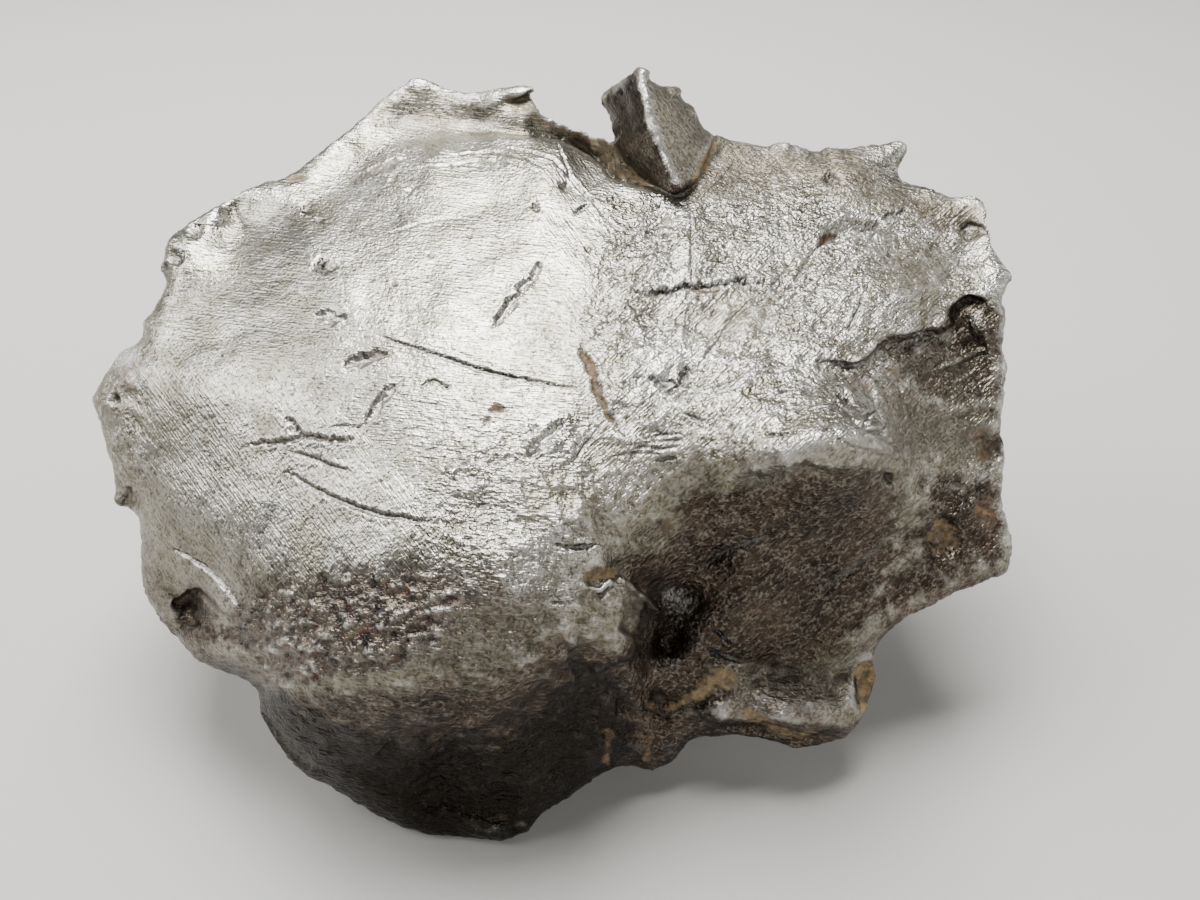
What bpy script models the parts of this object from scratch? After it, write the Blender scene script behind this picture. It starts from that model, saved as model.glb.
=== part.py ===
"""Iron meteorite shrapnel: one torn, wire-brushed lump of nickel-iron, at its real size.

Run it with blender --background --python part.py, or from the text editor. Metres, +Z up.

The lump is worked like a high relief. An eye looks down on it, and every place on its skin is named by
where it shows on an upright plane across the line of sight, in millimetres right of and above the
middle, and by how far it stands out from that plane towards the eye. The front skin and the hidden back
skin are two such reliefs that meet in one torn rim.
"""

import math

import bpy
import numpy as np
from mathutils import Vector, noise
from mathutils.geometry import delaunay_2d_cdt

MM = 0.001

# The line of sight: millimetres and degrees
EYE_HEIGHT = 158.0
EYE_PITCH = 41.0
PLANE_DISTANCE = 200.0

# How finely the skin is faceted: spacing on the plane, and the longest edge in space, in millimetres
FRONT_FACETS = (3.0, 4.9)
BACK_FACETS = (4.8, 7.4)
RIM_SPACING = 2.2
LINE_SPACING = 2.0
STEP_WIDTH = 0.5
POINT_SCATTER = 0.22
SEED = 47

IRON_COLOUR = (0.42, 0.40, 0.36, 1.0)

# Thinnest wall, and the waves that a hammered and ablated skin has
THINNEST = 2.4
FRONT_WAVE = (0.3, 9.0)
BACK_WAVE = (0.9, 13.0)

# The rim, clockwise from the left tip as the eye sees it. Each stretch has its corners on the plane, how
# far it stands out at even steps along it, its wall thickness and the radius that rounds it off.
RIM = (
    dict(
        name="left lobe",
        corners=((-101.7, 10.0), (-100.0, 14.0), (-96.4, 19.2), (-91.2, 22.8), (-91.6, 25.2)),
        relief=(30, 29.5, 28.5),
        wall=7.0,
        round=3.0,
    ),
    dict(
        name="left shoulder",
        corners=(
            (-89.4, 28.2), (-88.0, 31.2), (-86.9, 33.4), (-87.9, 36.4), (-87.1, 38.6), (-87.0, 40.8),
            (-86.2, 42.5), (-84.1, 44.0), (-80.8, 46.7), (-77.6, 48.3), (-73.7, 50.7), (-70.6, 52.5),
            (-68.0, 53.3),
        ),
        relief=(28, 25, 21, 17),
        wall=8.0,
        round=3.5,
    ),
    dict(
        name="back ridge",
        corners=(
            (-63.9, 54.3), (-60.2, 56.4), (-56.3, 59.6), (-52.0, 62.9), (-47.9, 66.4), (-45.9, 68.1),
            (-44.0, 70.2), (-42.0, 71.9), (-39.8, 73.2), (-38.6, 74.2), (-37.0, 74.8), (-35.2, 74.5),
            (-31.8, 73.4), (-28.4, 72.1), (-26.2, 71.7), (-24.0, 71.9), (-21.2, 72.5), (-18.5, 72.9),
        ),
        relief=(15.5, 12, 8, 5.5, 6, 7.5),
        wall=5.0,
        round=2.5,
    ),
    dict(
        name="lip of the back ridge",
        corners=((-15.9, 73.2), (-14.3, 72.9), (-12.4, 72.1), (-12.6, 71.5), (-13.8, 71.4)),
        relief=(8.5, 9),
        wall=2.4,
        round=1.0,
    ),
    dict(
        name="rim of the hollow",
        corners=(
            (-13.3, 70.6), (-12.5, 69.2), (-11.8, 67.9), (-10.4, 66.9), (-8.4, 66.1), (-6.5, 65.1),
            (-4.0, 64.4), (-2.4, 63.4), (-0.1, 63.0),
        ),
        relief=(8, 7, 7),
        wall=4.0,
        round=1.5,
    ),
    dict(
        name="fin",
        corners=(
            (2.6, 62.0), (2.0, 64.8), (1.6, 66.7), (0.8, 68.0), (0.0, 69.3), (-0.5, 70.2), (0.3, 71.3),
            (2.2, 73.1), (4.0, 74.4), (6.5, 75.6), (7.0, 76.3), (7.9, 76.7), (9.5, 76.2), (10.4, 75.6),
            (9.8, 74.2), (10.4, 73.5), (12.1, 73.1), (16.2, 72.7), (16.8, 72.1), (16.3, 70.8),
            (18.3, 69.3), (19.4, 67.7), (20.1, 65.7), (21.0, 64.4),
        ),
        relief=(14.5, 10.5, 24.5, 15.5, 12),
        wall=2.4,
        round=0.9,
    ),
    dict(
        name="top rim",
        corners=(
            (22.8, 62.8), (23.5, 63.3), (25.4, 62.4), (29.6, 61.6), (33.4, 60.9), (35.4, 61.7),
            (37.2, 62.0), (39.4, 61.1), (43.0, 60.1), (44.1, 60.2), (44.8, 60.7), (49.3, 60.8),
            (49.9, 60.6), (52.0, 61.2), (56.0, 61.5), (60.2, 62.1), (61.1, 61.7), (61.6, 60.4),
            (61.1, 58.6), (60.2, 56.8), (60.1, 55.3), (60.8, 53.9), (62.7, 53.2), (67.1, 52.4),
            (68.7, 51.7), (69.8, 50.8), (74.5, 51.0), (76.1, 50.3),
        ),
        relief=(11.5, 10, 9.5, 10, 16, 20),
        wall=3.4,
        round=1.4,
    ),
    dict(
        name="right rim",
        corners=(
            (77.6, 48.1), (77.4, 46.1), (78.1, 43.9), (78.5, 41.8), (79.7, 39.4), (81.0, 37.6),
            (82.3, 35.6), (82.6, 34.5), (81.7, 32.3), (80.5, 29.4), (81.4, 27.7), (81.2, 26.8),
            (81.6, 25.8), (81.2, 24.4), (81.1, 20.0), (81.6, 17.4), (81.9, 16.0), (81.2, 10.7),
            (80.5, 5.7), (80.4, 3.0), (81.1, 0.0), (81.5, -2.0), (80.9, -4.6), (80.8, -10.0),
            (81.6, -14.2), (82.1, -16.2), (83.0, -18.2), (83.0, -19.9), (81.9, -23.5),
        ),
        relief=(21, 27, 30, 31.5, 32.5, 31, 29),
        wall=4.0,
        round=1.6,
    ),
    dict(
        name="lower edge of the wing",
        corners=(
            (81.0, -25.0), (78.4, -26.2), (74.1, -28.0), (72.1, -28.1), (69.7, -29.3), (65.5, -32.0),
            (60.9, -34.0), (57.3, -37.1),
        ),
        relief=(29, 30, 31, 31.5),
        wall=6.0,
        round=2.4,
    ),
    dict(
        name="flap",
        corners=(
            (54.9, -40.2), (55.3, -42.7), (55.9, -45.6), (55.1, -49.0), (53.3, -52.5), (51.3, -55.7),
            (49.2, -57.7), (44.6, -59.4), (39.1, -60.6), (37.1, -59.8), (32.4, -58.4), (28.0, -57.6),
            (20.0, -57.6), (17.6, -58.4), (15.6, -61.2), (12.8, -63.4), (10.0, -64.2), (6.1, -63.2),
            (2.7, -63.6),
        ),
        relief=(31.5, 31, 28, 27, 29.5, 29, 31.5),
        wall=6.0,
        round=2.6,
    ),
    dict(
        name="belly",
        corners=(
            (0.0, -65.0), (-2.9, -67.4), (-7.8, -70.4), (-10.5, -72.2), (-13.7, -74.9), (-13.9, -76.1),
            (-18.0, -78.0), (-20.1, -78.4), (-25.5, -77.7), (-33.5, -77.6), (-38.9, -75.9),
            (-44.2, -73.4), (-49.6, -70.4), (-54.4, -66.9), (-58.7, -65.8), (-60.0, -64.5),
            (-63.3, -60.7), (-65.2, -58.0), (-67.8, -53.0), (-68.1, -50.6), (-68.6, -48.2),
        ),
        relief=(33, 33.5, 34, 33.5, 33, 34, 36, 37),
        wall=12.0,
        round=5.0,
    ),
    dict(
        name="left foot",
        corners=(
            (-70.6, -46.3), (-76.3, -44.3), (-81.0, -41.9), (-84.9, -37.6), (-88.0, -34.1),
            (-91.0, -29.3), (-91.9, -23.7), (-92.0, -20.6), (-92.1, -16.3), (-92.5, -13.7),
            (-93.6, -12.4), (-95.4, -11.6), (-96.7, -11.1), (-97.3, -10.2), (-97.3, -4.6),
            (-98.6, 0.2), (-99.9, 4.5), (-101.2, 8.4),
        ),
        relief=(36.5, 33, 31, 31.5, 31, 30),
        wall=9.0,
        round=4.0,
    ),
)

# Sections across the front skin: the level above the middle, then how far the skin stands out at places
# from left to right.
FRONT_SECTIONS = (
    (66, ((-42, 9), (-34, 8), (-24, 9))),
    (60, ((-52, 13.5), (-42, 15), (-32, 16.5), (-20, 17.5), (-8, 18), (30, 13), (50, 12.5))),
    (50, ((-74, 21), (-60, 21), (-40, 24.5), (-20, 26.5), (0, 26), (20, 24), (40, 22), (60, 19.5),
          (74, 19.5))),
    (40, ((-80, 28), (-60, 31.5), (-40, 33.5), (-20, 35), (0, 34.5), (20, 32.5), (40, 30.5), (60, 28),
          (75, 24))),
    (30, ((-84, 31), (-60, 38), (-40, 41.5), (-20, 42.5), (0, 41), (20, 39), (40, 38), (60, 36),
          (75, 31.5))),
    (15, ((-94, 35.5), (-80, 41.5), (-60, 46.5), (-40, 49.5), (-20, 50.5), (0, 49), (20, 47.5), (40, 47.5),
          (52, 45.5), (60, 40), (70, 34.5), (78, 32))),
    (0, ((-94, 37), (-80, 44), (-60, 51), (-40, 55), (-20, 56.5), (0, 54.5), (10, 53), (24, 54.5), (40, 59.5),
         (50, 57.5), (55, 53), (60, 43.5), (70, 36.5), (78, 33))),
    (-14, ((-88, 40), (-80, 45.5), (-60, 54), (-40, 59.5), (-20, 61), (0, 58), (10, 52), (20, 48),
           (32, 48), (42, 46.5), (52, 42), (62, 38), (72, 34.5), (79, 32))),
    (-22, ((-4, 60), (28, 44.5), (40, 41), (54, 37.5), (68, 34))),
    (-30, ((-86, 37), (-73, 48.5), (-60, 56), (-40, 62), (-20, 63.5), (-8, 62), (0, 58.5), (5, 56), (12, 41),
           (28, 42), (40, 38.5), (52, 36), (62, 33.5))),
    (-40, ((-72, 46), (-64, 53), (-52, 59.5), (-36, 62), (-20, 61.5), (-8, 59), (0, 56), (5, 53.5), (12, 39),
           (22, 39), (32, 36.5), (44, 34))),
    (-46, ((30, 34.5), (40, 33.5), (50, 32.5))),
    (-50, ((-62, 50), (-48, 57), (-36, 59), (-20, 57.5), (-12, 53), (0, 45), (10, 37), (22, 37), (36, 37),
           (46, 35))),
    (-54, ((24, 38), (36, 38), (45, 36))),
    (-58, ((-58, 46), (-48, 50), (-36, 50), (-16, 47.5), (0, 41), (9, 34))),
    (-66, ((-48, 40), (-34, 40.5), (-16, 41.5), (-6, 38.5))),
    (-73, ((-34, 36), (-18, 36.5))),
)

# Sections across the hidden back skin and the underside. Numbers under zero lie beyond the plane.
BACK_SECTIONS = (
    (60, ((-50, -1), (-36, -6), (-20, -6), (-4, -2), (12, 3), (30, 6), (52, 7))),
    (50, ((-66, 6), (-50, -6), (-30, -13), (-8, -11), (10, -3), (26, 4), (44, 9), (62, 11))),
    (40, ((-78, 9), (-62, -4), (-42, -16), (-20, -20), (0, -16), (18, -4), (36, 5), (56, 11), (72, 15))),
    (30, ((-80, 11), (-62, -8), (-42, -20), (-18, -24), (4, -20), (22, -8), (40, 4), (58, 12), (74, 19))),
    (15, ((-88, 14), (-72, -2), (-52, -17), (-30, -25), (-8, -26), (12, -19), (28, -6), (44, 6), (60, 14),
          (74, 22))),
    (0, ((-92, 18), (-76, 2), (-56, -14), (-35, -24), (-12, -26), (8, -19), (26, -5), (42, 8), (58, 17),
         (72, 24))),
    (-14, ((-86, 18), (-70, 3), (-50, -12), (-30, -20), (-10, -21), (8, -15), (24, -3), (40, 9), (56, 19),
           (72, 24))),
    (-30, ((-80, 20), (-66, 8), (-50, -5), (-30, -9), (-10, -9), (8, -6), (24, 5), (40, 16), (54, 25))),
    (-40, ((-68, 18), (-56, 8), (-40, 1), (-20, -1), (0, 1), (14, 7), (28, 16), (44, 25))),
    (-50, ((-58, 20), (-48, 13), (-30, 9), (-10, 9), (4, 12), (18, 18), (32, 23), (44, 26))),
    (-58, ((-50, 22), (-35, 17), (-10, 17), (6, 21))),
    (-66, ((-44, 27), (-30, 23), (-12, 24))),
)

# Steps in the front skin: the skin to the left of each line, as one follows it, lies lower by the drop at
# each corner, and the step fades out over the reach.
FRONT_STEPS = (
    dict(
        name="dome over the hollow behind it",
        line=((-35.0, 62.6), (-25.8, 62.6), (-20.3, 63.1), (-13.9, 62.6), (-7.9, 61.9), (-3.3, 59.8),
              (0.3, 57.0), (1.6, 54.4), (4.4, 53.6), (9.0, 52.4), (14.0, 50.6)),
        drops=(0, 1.5, 3.5, 6, 9, 11, 12, 12, 9, 5, 1),
        reach=5.5,
    ),
    dict(
        name="plateau over the cove",
        line=((80.0, 27.3), (77.5, 28.7), (76.7, 30.3), (73.5, 30.8), (71.1, 28.9), (69.4, 27.0),
              (70.6, 25.0), (68.4, 23.5), (64.5, 23.5), (60.8, 22.3), (56.6, 21.1), (54.9, 18.8),
              (52.1, 17.0), (47.9, 17.8), (43.0, 18.0)),
        drops=(0.4, 1.2, 1.8, 2.4, 2.8, 3, 3.2, 3.2, 3, 2.6, 2.2, 2, 1.8, 0.8, 0),
        reach=14.0,
    ),
    dict(
        name="upper edge of the nose",
        line=((-3.0, -25.8), (0.0, -27.4), (2.4, -26.0), (4.0, -25.4), (6.4, -27.0), (9.0, -29.6),
              (11.4, -31.2)),
        drops=(0, 1.5, 2.5, 3.5, 4.5, 4.5, 2),
        reach=7.0,
    ),
    dict(
        name="lower edge of the nose",
        line=((7.4, -38.0), (6.8, -41.0), (4.0, -42.0), (1.6, -43.6), (-0.4, -44.4), (-4.4, -43.0),
              (-7.6, -42.0), (-10.0, -41.2)),
        drops=(3, 5, 4.5, 4, 3, 1.5, 0.6, 0),
        reach=8.0,
    ),
    dict(
        name="under the knuckle",
        line=((56.8, -3.2), (50.0, -4.0), (44.0, -3.6), (40.0, -2.4), (36.0, -5.2), (30.0, -4.4),
              (27.0, -6.0), (24.5, -8.0)),
        drops=(0, 1, 2, 2.5, 2.5, 2, 1, 0),
        reach=9.0,
    ),
    dict(
        name="under the belly bulge",
        line=((-4.8, -41.0), (-11.4, -46.4), (-15.6, -52.8), (-24.6, -56.0), (-29.6, -56.6),
              (-45.0, -55.6), (-55.2, -57.2)),
        drops=(0, 1.5, 2.5, 2.5, 2, 1.5, 0),
        reach=11.0,
    ),
    dict(
        name="torn end of the flap",
        line=((54.0, -41.4), (52.0, -43.4), (51.0, -46.6), (51.4, -50.0), (52.0, -52.2)),
        drops=(0, 2, 3, 3, 0.5),
        reach=5.0,
    ),
    dict(
        name="under the rim of the flap",
        line=((49.0, -55.8), (44.0, -56.0), (41.6, -56.8), (39.0, -55.8), (33.0, -54.4), (24.0, -54.4),
              (21.0, -54.0), (19.4, -52.0)),
        drops=(1, 4, 5.5, 6.5, 7.5, 7, 4, 0),
        reach=8.0,
    ),
    dict(
        name="leaf beside the belly",
        line=((-55.8, -64.4), (-60.0, -60.4), (-64.0, -56.6), (-66.6, -52.4)),
        drops=(1, 2.5, 2.5, 1),
        reach=4.0,
    ),
    dict(
        name="arch of the left cavity",
        line=((-72.0, -34.4), (-75.6, -32.4), (-78.4, -29.0), (-80.0, -27.6), (-82.0, -28.0),
              (-84.2, -29.8)),
        drops=(0, 2, 3.5, 4, 4, 2.5),
        reach=6.0,
    ),
    dict(
        name="under the lip of the back ridge",
        line=((-15.0, 71.0), (-16.5, 70.4), (-18.5, 70.1), (-21.0, 70.6)),
        drops=(2.2, 2.2, 1.5, 0),
        reach=3.0,
    ),
)

# Raised lines and grooves in the front skin: height, under zero for a groove, and half width
FRONT_LINES = (
    dict(
        name="left lip",
        line=((-88.0, -18.0), (-84.0, -22.0), (-80.0, -25.4), (-77.4, -28.4), (-72.0, -34.0)),
        height=1.3,
        width=2.6,
    ),
    dict(
        name="knuckle crest",
        line=((28.6, -4.2), (37.4, -0.6), (44.2, 3.6), (50.4, 4.6), (56.4, 3.6)),
        height=1.0,
        width=4.0,
    ),
    dict(name="ridge in the cove", line=((67.6, 16.6), (72.0, 18.2), (76.4, 20.2)), height=1.2, width=1.8),
    dict(name="valley crease", line=((20.0, -22.4), (26.0, -20.0), (31.6, -17.6)), height=-1.3, width=2.2),
    dict(name="upper crease", line=((22.4, -35.4), (26.0, -39.0)), height=-1.2, width=1.8),
    dict(name="lower crease", line=((21.0, -39.4), (25.0, -41.0), (28.4, -42.6)), height=-1.2, width=1.8),
    dict(
        name="groove above the flap",
        line=((30.0, -43.0), (40.0, -44.6), (51.0, -48.0)),
        height=-1.4,
        width=2.8,
    ),
    dict(name="lens hollow", line=((44.6, 42.2), (50.0, 44.6), (55.6, 46.0)), height=-1.1, width=2.2),
    dict(
        name="trough behind the dome",
        line=((-52.0, 57.0), (-40.0, 61.6), (-30.0, 64.4), (-22.0, 66.0)),
        height=-0.8,
        width=3.6,
    ),
)

# Pits in the front skin: place on the plane, radius and depth
FRONT_PITS = (
    (-80.6, 43.8, 2.6, 1.6),
    (-84.2, 38.6, 2.4, 2.0),
    (-82.0, -32.6, 4.6, 3.2),
    (-94.6, -7.8, 3.4, 1.8),
    (74.4, 44.0, 3.4, 2.2),
    (68.6, -18.0, 3.8, 1.7),
    (78.6, 0.6, 2.6, 1.5),
    (11.6, -50.6, 3.4, 3.0),
    (17.0, -30.0, 5.0, 2.2),
    (12.6, -37.0, 5.6, 4.0),
    (-10.0, -58.0, 10.0, 1.5),
)

# The fin, a torn blade that stands up behind the saddle: its area on the plane, its crest from tip to
# root, how far the crest stands out, and how fast its left and right faces fall back
FIN_AREA = (
    (2.7, 62.2), (3.6, 60.2), (5.9, 57.3), (7.5, 55.6), (9.1, 54.5), (11.4, 53.3), (14.1, 51.5),
    (16.2, 51.6), (19.6, 54.0), (21.2, 58.0), (23.0, 62.6), (30.0, 80.0), (-10.0, 80.0), (1.5, 63.5),
)
FIN_FOOT = ((3.6, 61.0), (3.8, 60.0), (5.9, 57.3), (7.5, 55.6), (9.1, 54.5), (11.4, 53.3), (14.1, 51.5),
            (16.2, 51.6), (19.6, 54.0), (21.2, 58.0), (22.4, 61.4))
FIN_CREST = ((8.6, 75.2), (9.2, 70.0), (10.2, 64.8), (12.1, 60.2), (13.7, 56.1), (15.6, 52.4))
FIN_RELIEF = (25.5, 26.0, 26.5, 27.0, 27.5, 27.5)
FIN_FALL = (1.6, 1.1)
FIN_EDGE = 0.6

# Hollows in the back skin like thumbprints: place on the plane, radius and depth
BACK_PITS = (
    (-47, 36, 15, 4.8),
    (-14, 42, 14, 4.4),
    (15, 24, 13, 4.0),
    (44, 36, 13, 3.2),
    (-70, 14, 12, 4.0),
    (-36, 10, 14, 4.0),
    (-4, 8, 12, 3.4),
    (52, 10, 12, 3.2),
    (32, -14, 10, 3.0),
    (-64, -18, 10, 3.2),
    (-67, 40, 9, 2.8),
    (66, 30, 8, 2.0),
)
BACK_STEPS = (
    dict(
        name="torn fold under the wing",
        line=((70.0, 38.0), (56.0, 26.0), (44.0, 4.0), (36.0, -8.0), (26.0, -26.0)),
        drops=(0, 2, 3.5, 3, 0),
        reach=13.0,
    ),
    dict(
        name="torn fold at the back",
        line=((-70.0, 22.0), (-56.0, 24.0), (-40.0, 14.0), (-24.0, 20.0), (-8.0, 16.0)),
        drops=(0, 2, 3, 2, 0),
        reach=12.0,
    ),
)
BACK_LINES = (
    dict(name="rib at the back", line=((-30.0, 56.0), (-26.0, 38.0), (-24.0, 22.0)), height=2.8, width=5.0),
    dict(name="rib under the wing", line=((20.0, 40.0), (24.0, 16.0), (18.0, -6.0)), height=2.4, width=4.5),
)


def ground_relief(level):
    """How far the ground stands out where a line of sight at this level meets it."""
    pitch = math.radians(EYE_PITCH)
    fall = math.sin(pitch) - math.cos(pitch) * level / PLANE_DISTANCE
    return PLANE_DISTANCE - EYE_HEIGHT / fall


def in_space(flat, relief):
    """World places, in millimetres from the ground under the eye, of skin seen at flat."""
    pitch = math.radians(EYE_PITCH)
    forward = np.array((0.0, math.cos(pitch), -math.sin(pitch)))
    up = np.array((0.0, math.sin(pitch), math.cos(pitch)))
    right = np.array((1.0, 0.0, 0.0))
    sight = forward + (np.outer(flat[:, 0], right) + np.outer(flat[:, 1], up)) / PLANE_DISTANCE
    return np.array((0.0, 0.0, EYE_HEIGHT)) + sight * (PLANE_DISTANCE - relief)[:, None]


def resampled(corners, spacing, closed=False):
    """The corners with even points put between those that are further apart than spacing."""
    ends = list(corners[1:]) + ([corners[0]] if closed else [])
    found = []
    for start, end in zip(corners, ends):
        start, end = np.array(start, float), np.array(end, float)
        count = max(1, math.ceil(np.linalg.norm(end - start) / spacing))
        found += [start + (end - start) * i / count for i in range(count)]
    if not closed:
        found.append(np.array(corners[-1], float))
    return np.array(found)


def follow(flat, line):
    """For each point, where along the line its nearest place is, in corners, and how far to its left."""
    line = np.array(line, float)
    start, run = line[:-1], np.diff(line, axis=0)
    to_point = flat[:, None, :] - start
    share = np.clip((to_point * run).sum(2) / (run * run).sum(1), 0, 1)
    gap = to_point - share[..., None] * run
    distance = np.hypot(gap[..., 0], gap[..., 1])
    nearest = distance.argmin(axis=1)
    rows = np.arange(len(flat))
    where = nearest + share[rows, nearest]
    heading = np.column_stack([at_corners(where, part) for part in headings(line).T])
    across = gap[rows, nearest]
    turn = heading[:, 0] * across[:, 1] - heading[:, 1] * across[:, 0]
    return where, np.sign(turn) * distance[rows, nearest]


def headings(line):
    """The way the line runs at each corner."""
    run = np.diff(line, axis=0)
    run /= np.hypot(run[:, :1], run[:, 1:])
    return np.vstack((run[:1], run[:-1] + run[1:], run[-1:]))


def beside(line):
    """The line laid down twice, a little to each side, so that the mesh can step there."""
    line = np.array(line, float)
    ahead = headings(line)
    ahead /= np.hypot(ahead[:, :1], ahead[:, 1:])
    left = np.column_stack((-ahead[:, 1], ahead[:, 0])) * STEP_WIDTH / 2
    return [resampled(line + left, LINE_SPACING), resampled(line - left, LINE_SPACING)]


def at_corners(where, values):
    """The value at a place along a line, from one value for each corner or at even steps."""
    return np.interp(where, np.arange(len(values)), values)


def smooth_skin(known):
    """A thin-plate skin through places (right, up, relief), as a function of flat points."""
    known = np.array(known, float)
    flat, relief = known[:, :2] / PLANE_DISTANCE, known[:, 2]

    def kernel(a, b):
        square = ((a[:, None, :] - b[None, :, :]) ** 2).sum(2)
        return square * np.log(square + 1e-12)

    plane = np.column_stack((np.ones(len(flat)), flat))
    system = np.block([[kernel(flat, flat), plane], [plane.T, np.zeros((3, 3))]])
    weights = np.linalg.solve(system, np.concatenate((relief, np.zeros(3))))

    def skin(points):
        points = points / PLANE_DISTANCE
        basis = np.column_stack((kernel(points, flat), np.ones(len(points)), points))
        return basis @ weights

    return skin


def rim_loop():
    """The rim's points on the plane with relief, wall and rounding radius at each."""
    flat, relief, wall, radius = [], [], [], []
    for number, stretch in enumerate(RIM):
        following = RIM[(number + 1) % len(RIM)]["corners"][0]
        points = resampled(list(stretch["corners"]) + [following], RIM_SPACING)[:-1]
        share = np.linspace(0, len(stretch["relief"]) - 1, len(points), endpoint=False)
        flat.append(points)
        relief.append(at_corners(share, stretch["relief"]))
        wall.append(np.full(len(points), stretch["wall"]))
        radius.append(np.full(len(points), stretch["round"]))

    def evened(values):
        values = np.concatenate(values)
        return sum(np.roll(values, shift) for shift in (-2, -1, 0, 1, 2)) / 5

    flat = np.concatenate(flat)
    return flat, np.maximum(evened(relief), ground_relief(flat[:, 1])), evened(wall), evened(radius)


def inside(flat, loop):
    """Whether each point is inside the closed loop."""
    x, y = flat[:, :1], flat[:, 1:]
    x1, y1 = loop[:, 0], loop[:, 1]
    x2, y2 = np.roll(x1, -1), np.roll(y1, -1)
    spans = (y1 > y) != (y2 > y)
    rise = np.where(y2 == y1, 1.0, y2 - y1)
    crossing = spans & (x < (x2 - x1) * (y - y1) / rise + x1)
    return crossing.sum(axis=1) % 2 == 1


def waves(flat, wave, shift):
    """Low rounded waves, as (height, length) in millimetres."""
    height, length = wave
    places = [Vector((x / length, y / length, shift)) for x, y in flat]
    return height * np.array([noise.fractal(place, 1.0, 2.0, 2) for place in places])


def stepped(flat, steps):
    """How much the skin lies lower beside the lines of the steps."""
    fall = np.zeros(len(flat))
    for step in steps:
        where, off = follow(flat, step["line"])
        fall += at_corners(where, step["drops"]) * np.clip(1 - off / step["reach"], 0, 1) * (off > 0)
    return fall


def lined(flat, lines):
    """How much the skin is raised along the lines, which run out to nothing at their ends."""
    rise = np.zeros(len(flat))
    for item in lines:
        where, off = follow(flat, item["line"])
        last = len(item["line"]) - 1
        run_out = np.clip(np.minimum(where, last - where) * 3, 0.15, 1)
        rise += item["height"] * run_out * np.exp(-((off / item["width"]) ** 2) * 1.5)
    return rise


def pitted(flat, pits):
    """How deep the round pits are."""
    depth = np.zeros(len(flat))
    for across, level, radius, deep in pits:
        square = ((flat[:, 0] - across) ** 2 + (flat[:, 1] - level) ** 2) / radius**2
        depth += deep * np.clip(1 - square, 0, 1) ** 1.5
    return depth


def fin_relief(flat):
    """The two faces of the fin, which fall back from its crest."""
    where, off = follow(flat, FIN_CREST)
    right_hand, left_hand = np.clip(off - FIN_EDGE, 0, None), np.clip(-off - FIN_EDGE, 0, None)
    return at_corners(where, FIN_RELIEF) - FIN_FALL[0] * left_hand - FIN_FALL[1] * right_hand


def net(rim, lines, facets, relief_of):
    """Flat points and triangles inside the rim, with every line kept as an edge and none too long."""
    spacing, longest = facets
    layout = np.random.default_rng(SEED)
    low, high = rim.min(axis=0), rim.max(axis=0)
    rows = np.arange(low[1], high[1], spacing * math.sqrt(3) / 2)
    row = np.arange(low[0], high[0], spacing)
    grid = np.array([(x + spacing / 2 * (i % 2), y) for i, y in enumerate(rows) for x in row])
    grid += layout.uniform(-POINT_SCATTER, POINT_SCATTER, grid.shape) * spacing
    grid = grid[inside(grid, rim)]
    fixed = np.concatenate([rim] + lines)
    clear = np.array([np.hypot(*(fixed - point).T).min() for point in grid])
    grid = grid[clear > 0.62 * spacing]
    edges, start = [], len(rim)
    for line in lines:
        edges += [(start + i, start + i + 1) for i in range(len(line) - 1)]
        start += len(line)
    outline = [list(range(len(rim)))]
    for refining in (True, True, False):
        while True:
            points = [Vector(point) for point in np.concatenate((fixed, grid))]
            made = delaunay_2d_cdt(points, edges, outline, 1, 1e-5)
            flat, sides, faces, origins = made[:4]
            flat = np.array([tuple(point) for point in flat])
            sides = np.array([tuple(side) for side in sides])
            on_rim = np.array([min([i for i in found if i < len(rim)] or [-1]) for found in origins])
            ends = on_rim[sides]
            near = (ends[:, 0] - ends[:, 1]) % len(rim)
            chord = (ends >= 0).all(axis=1) & (near != 1) & (near != len(rim) - 1)
            if not chord.any():
                break
            grid = np.vstack((grid, flat[sides[chord]].mean(axis=1)))
        if refining:
            space = in_space(flat, relief_of(flat))
            span = np.linalg.norm(space[sides[:, 0]] - space[sides[:, 1]], axis=1)
            short = np.linalg.norm(flat[sides[:, 0]] - flat[sides[:, 1]], axis=1) < 2 * STEP_WIDTH
            long = (span > longest) & ~short & ~(ends >= 0).any(axis=1)
            grid = np.vstack((grid, flat[sides[long]].mean(axis=1)))
    return flat, np.array([tuple(face) for face in faces]), on_rim


def rounded_off(flat, rim, wall, radius):
    """How much the skin falls back near the rim, so that it turns over in a quarter ellipse."""
    where, off = follow(flat, np.vstack((rim, rim[:1])))
    closed_wall, closed_radius = np.append(wall, wall[0]), np.append(radius, radius[0])
    reach = np.clip(np.abs(off) / at_corners(where, closed_radius), 0, 1)
    return at_corners(where, closed_wall) / 2 * (1 - np.sqrt(1 - (1 - reach) ** 2)), np.abs(off)


def sections(table):
    """The table's places, as (right, up, relief)."""
    return [(across, level, relief) for level, row in table for across, relief in row]


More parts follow.
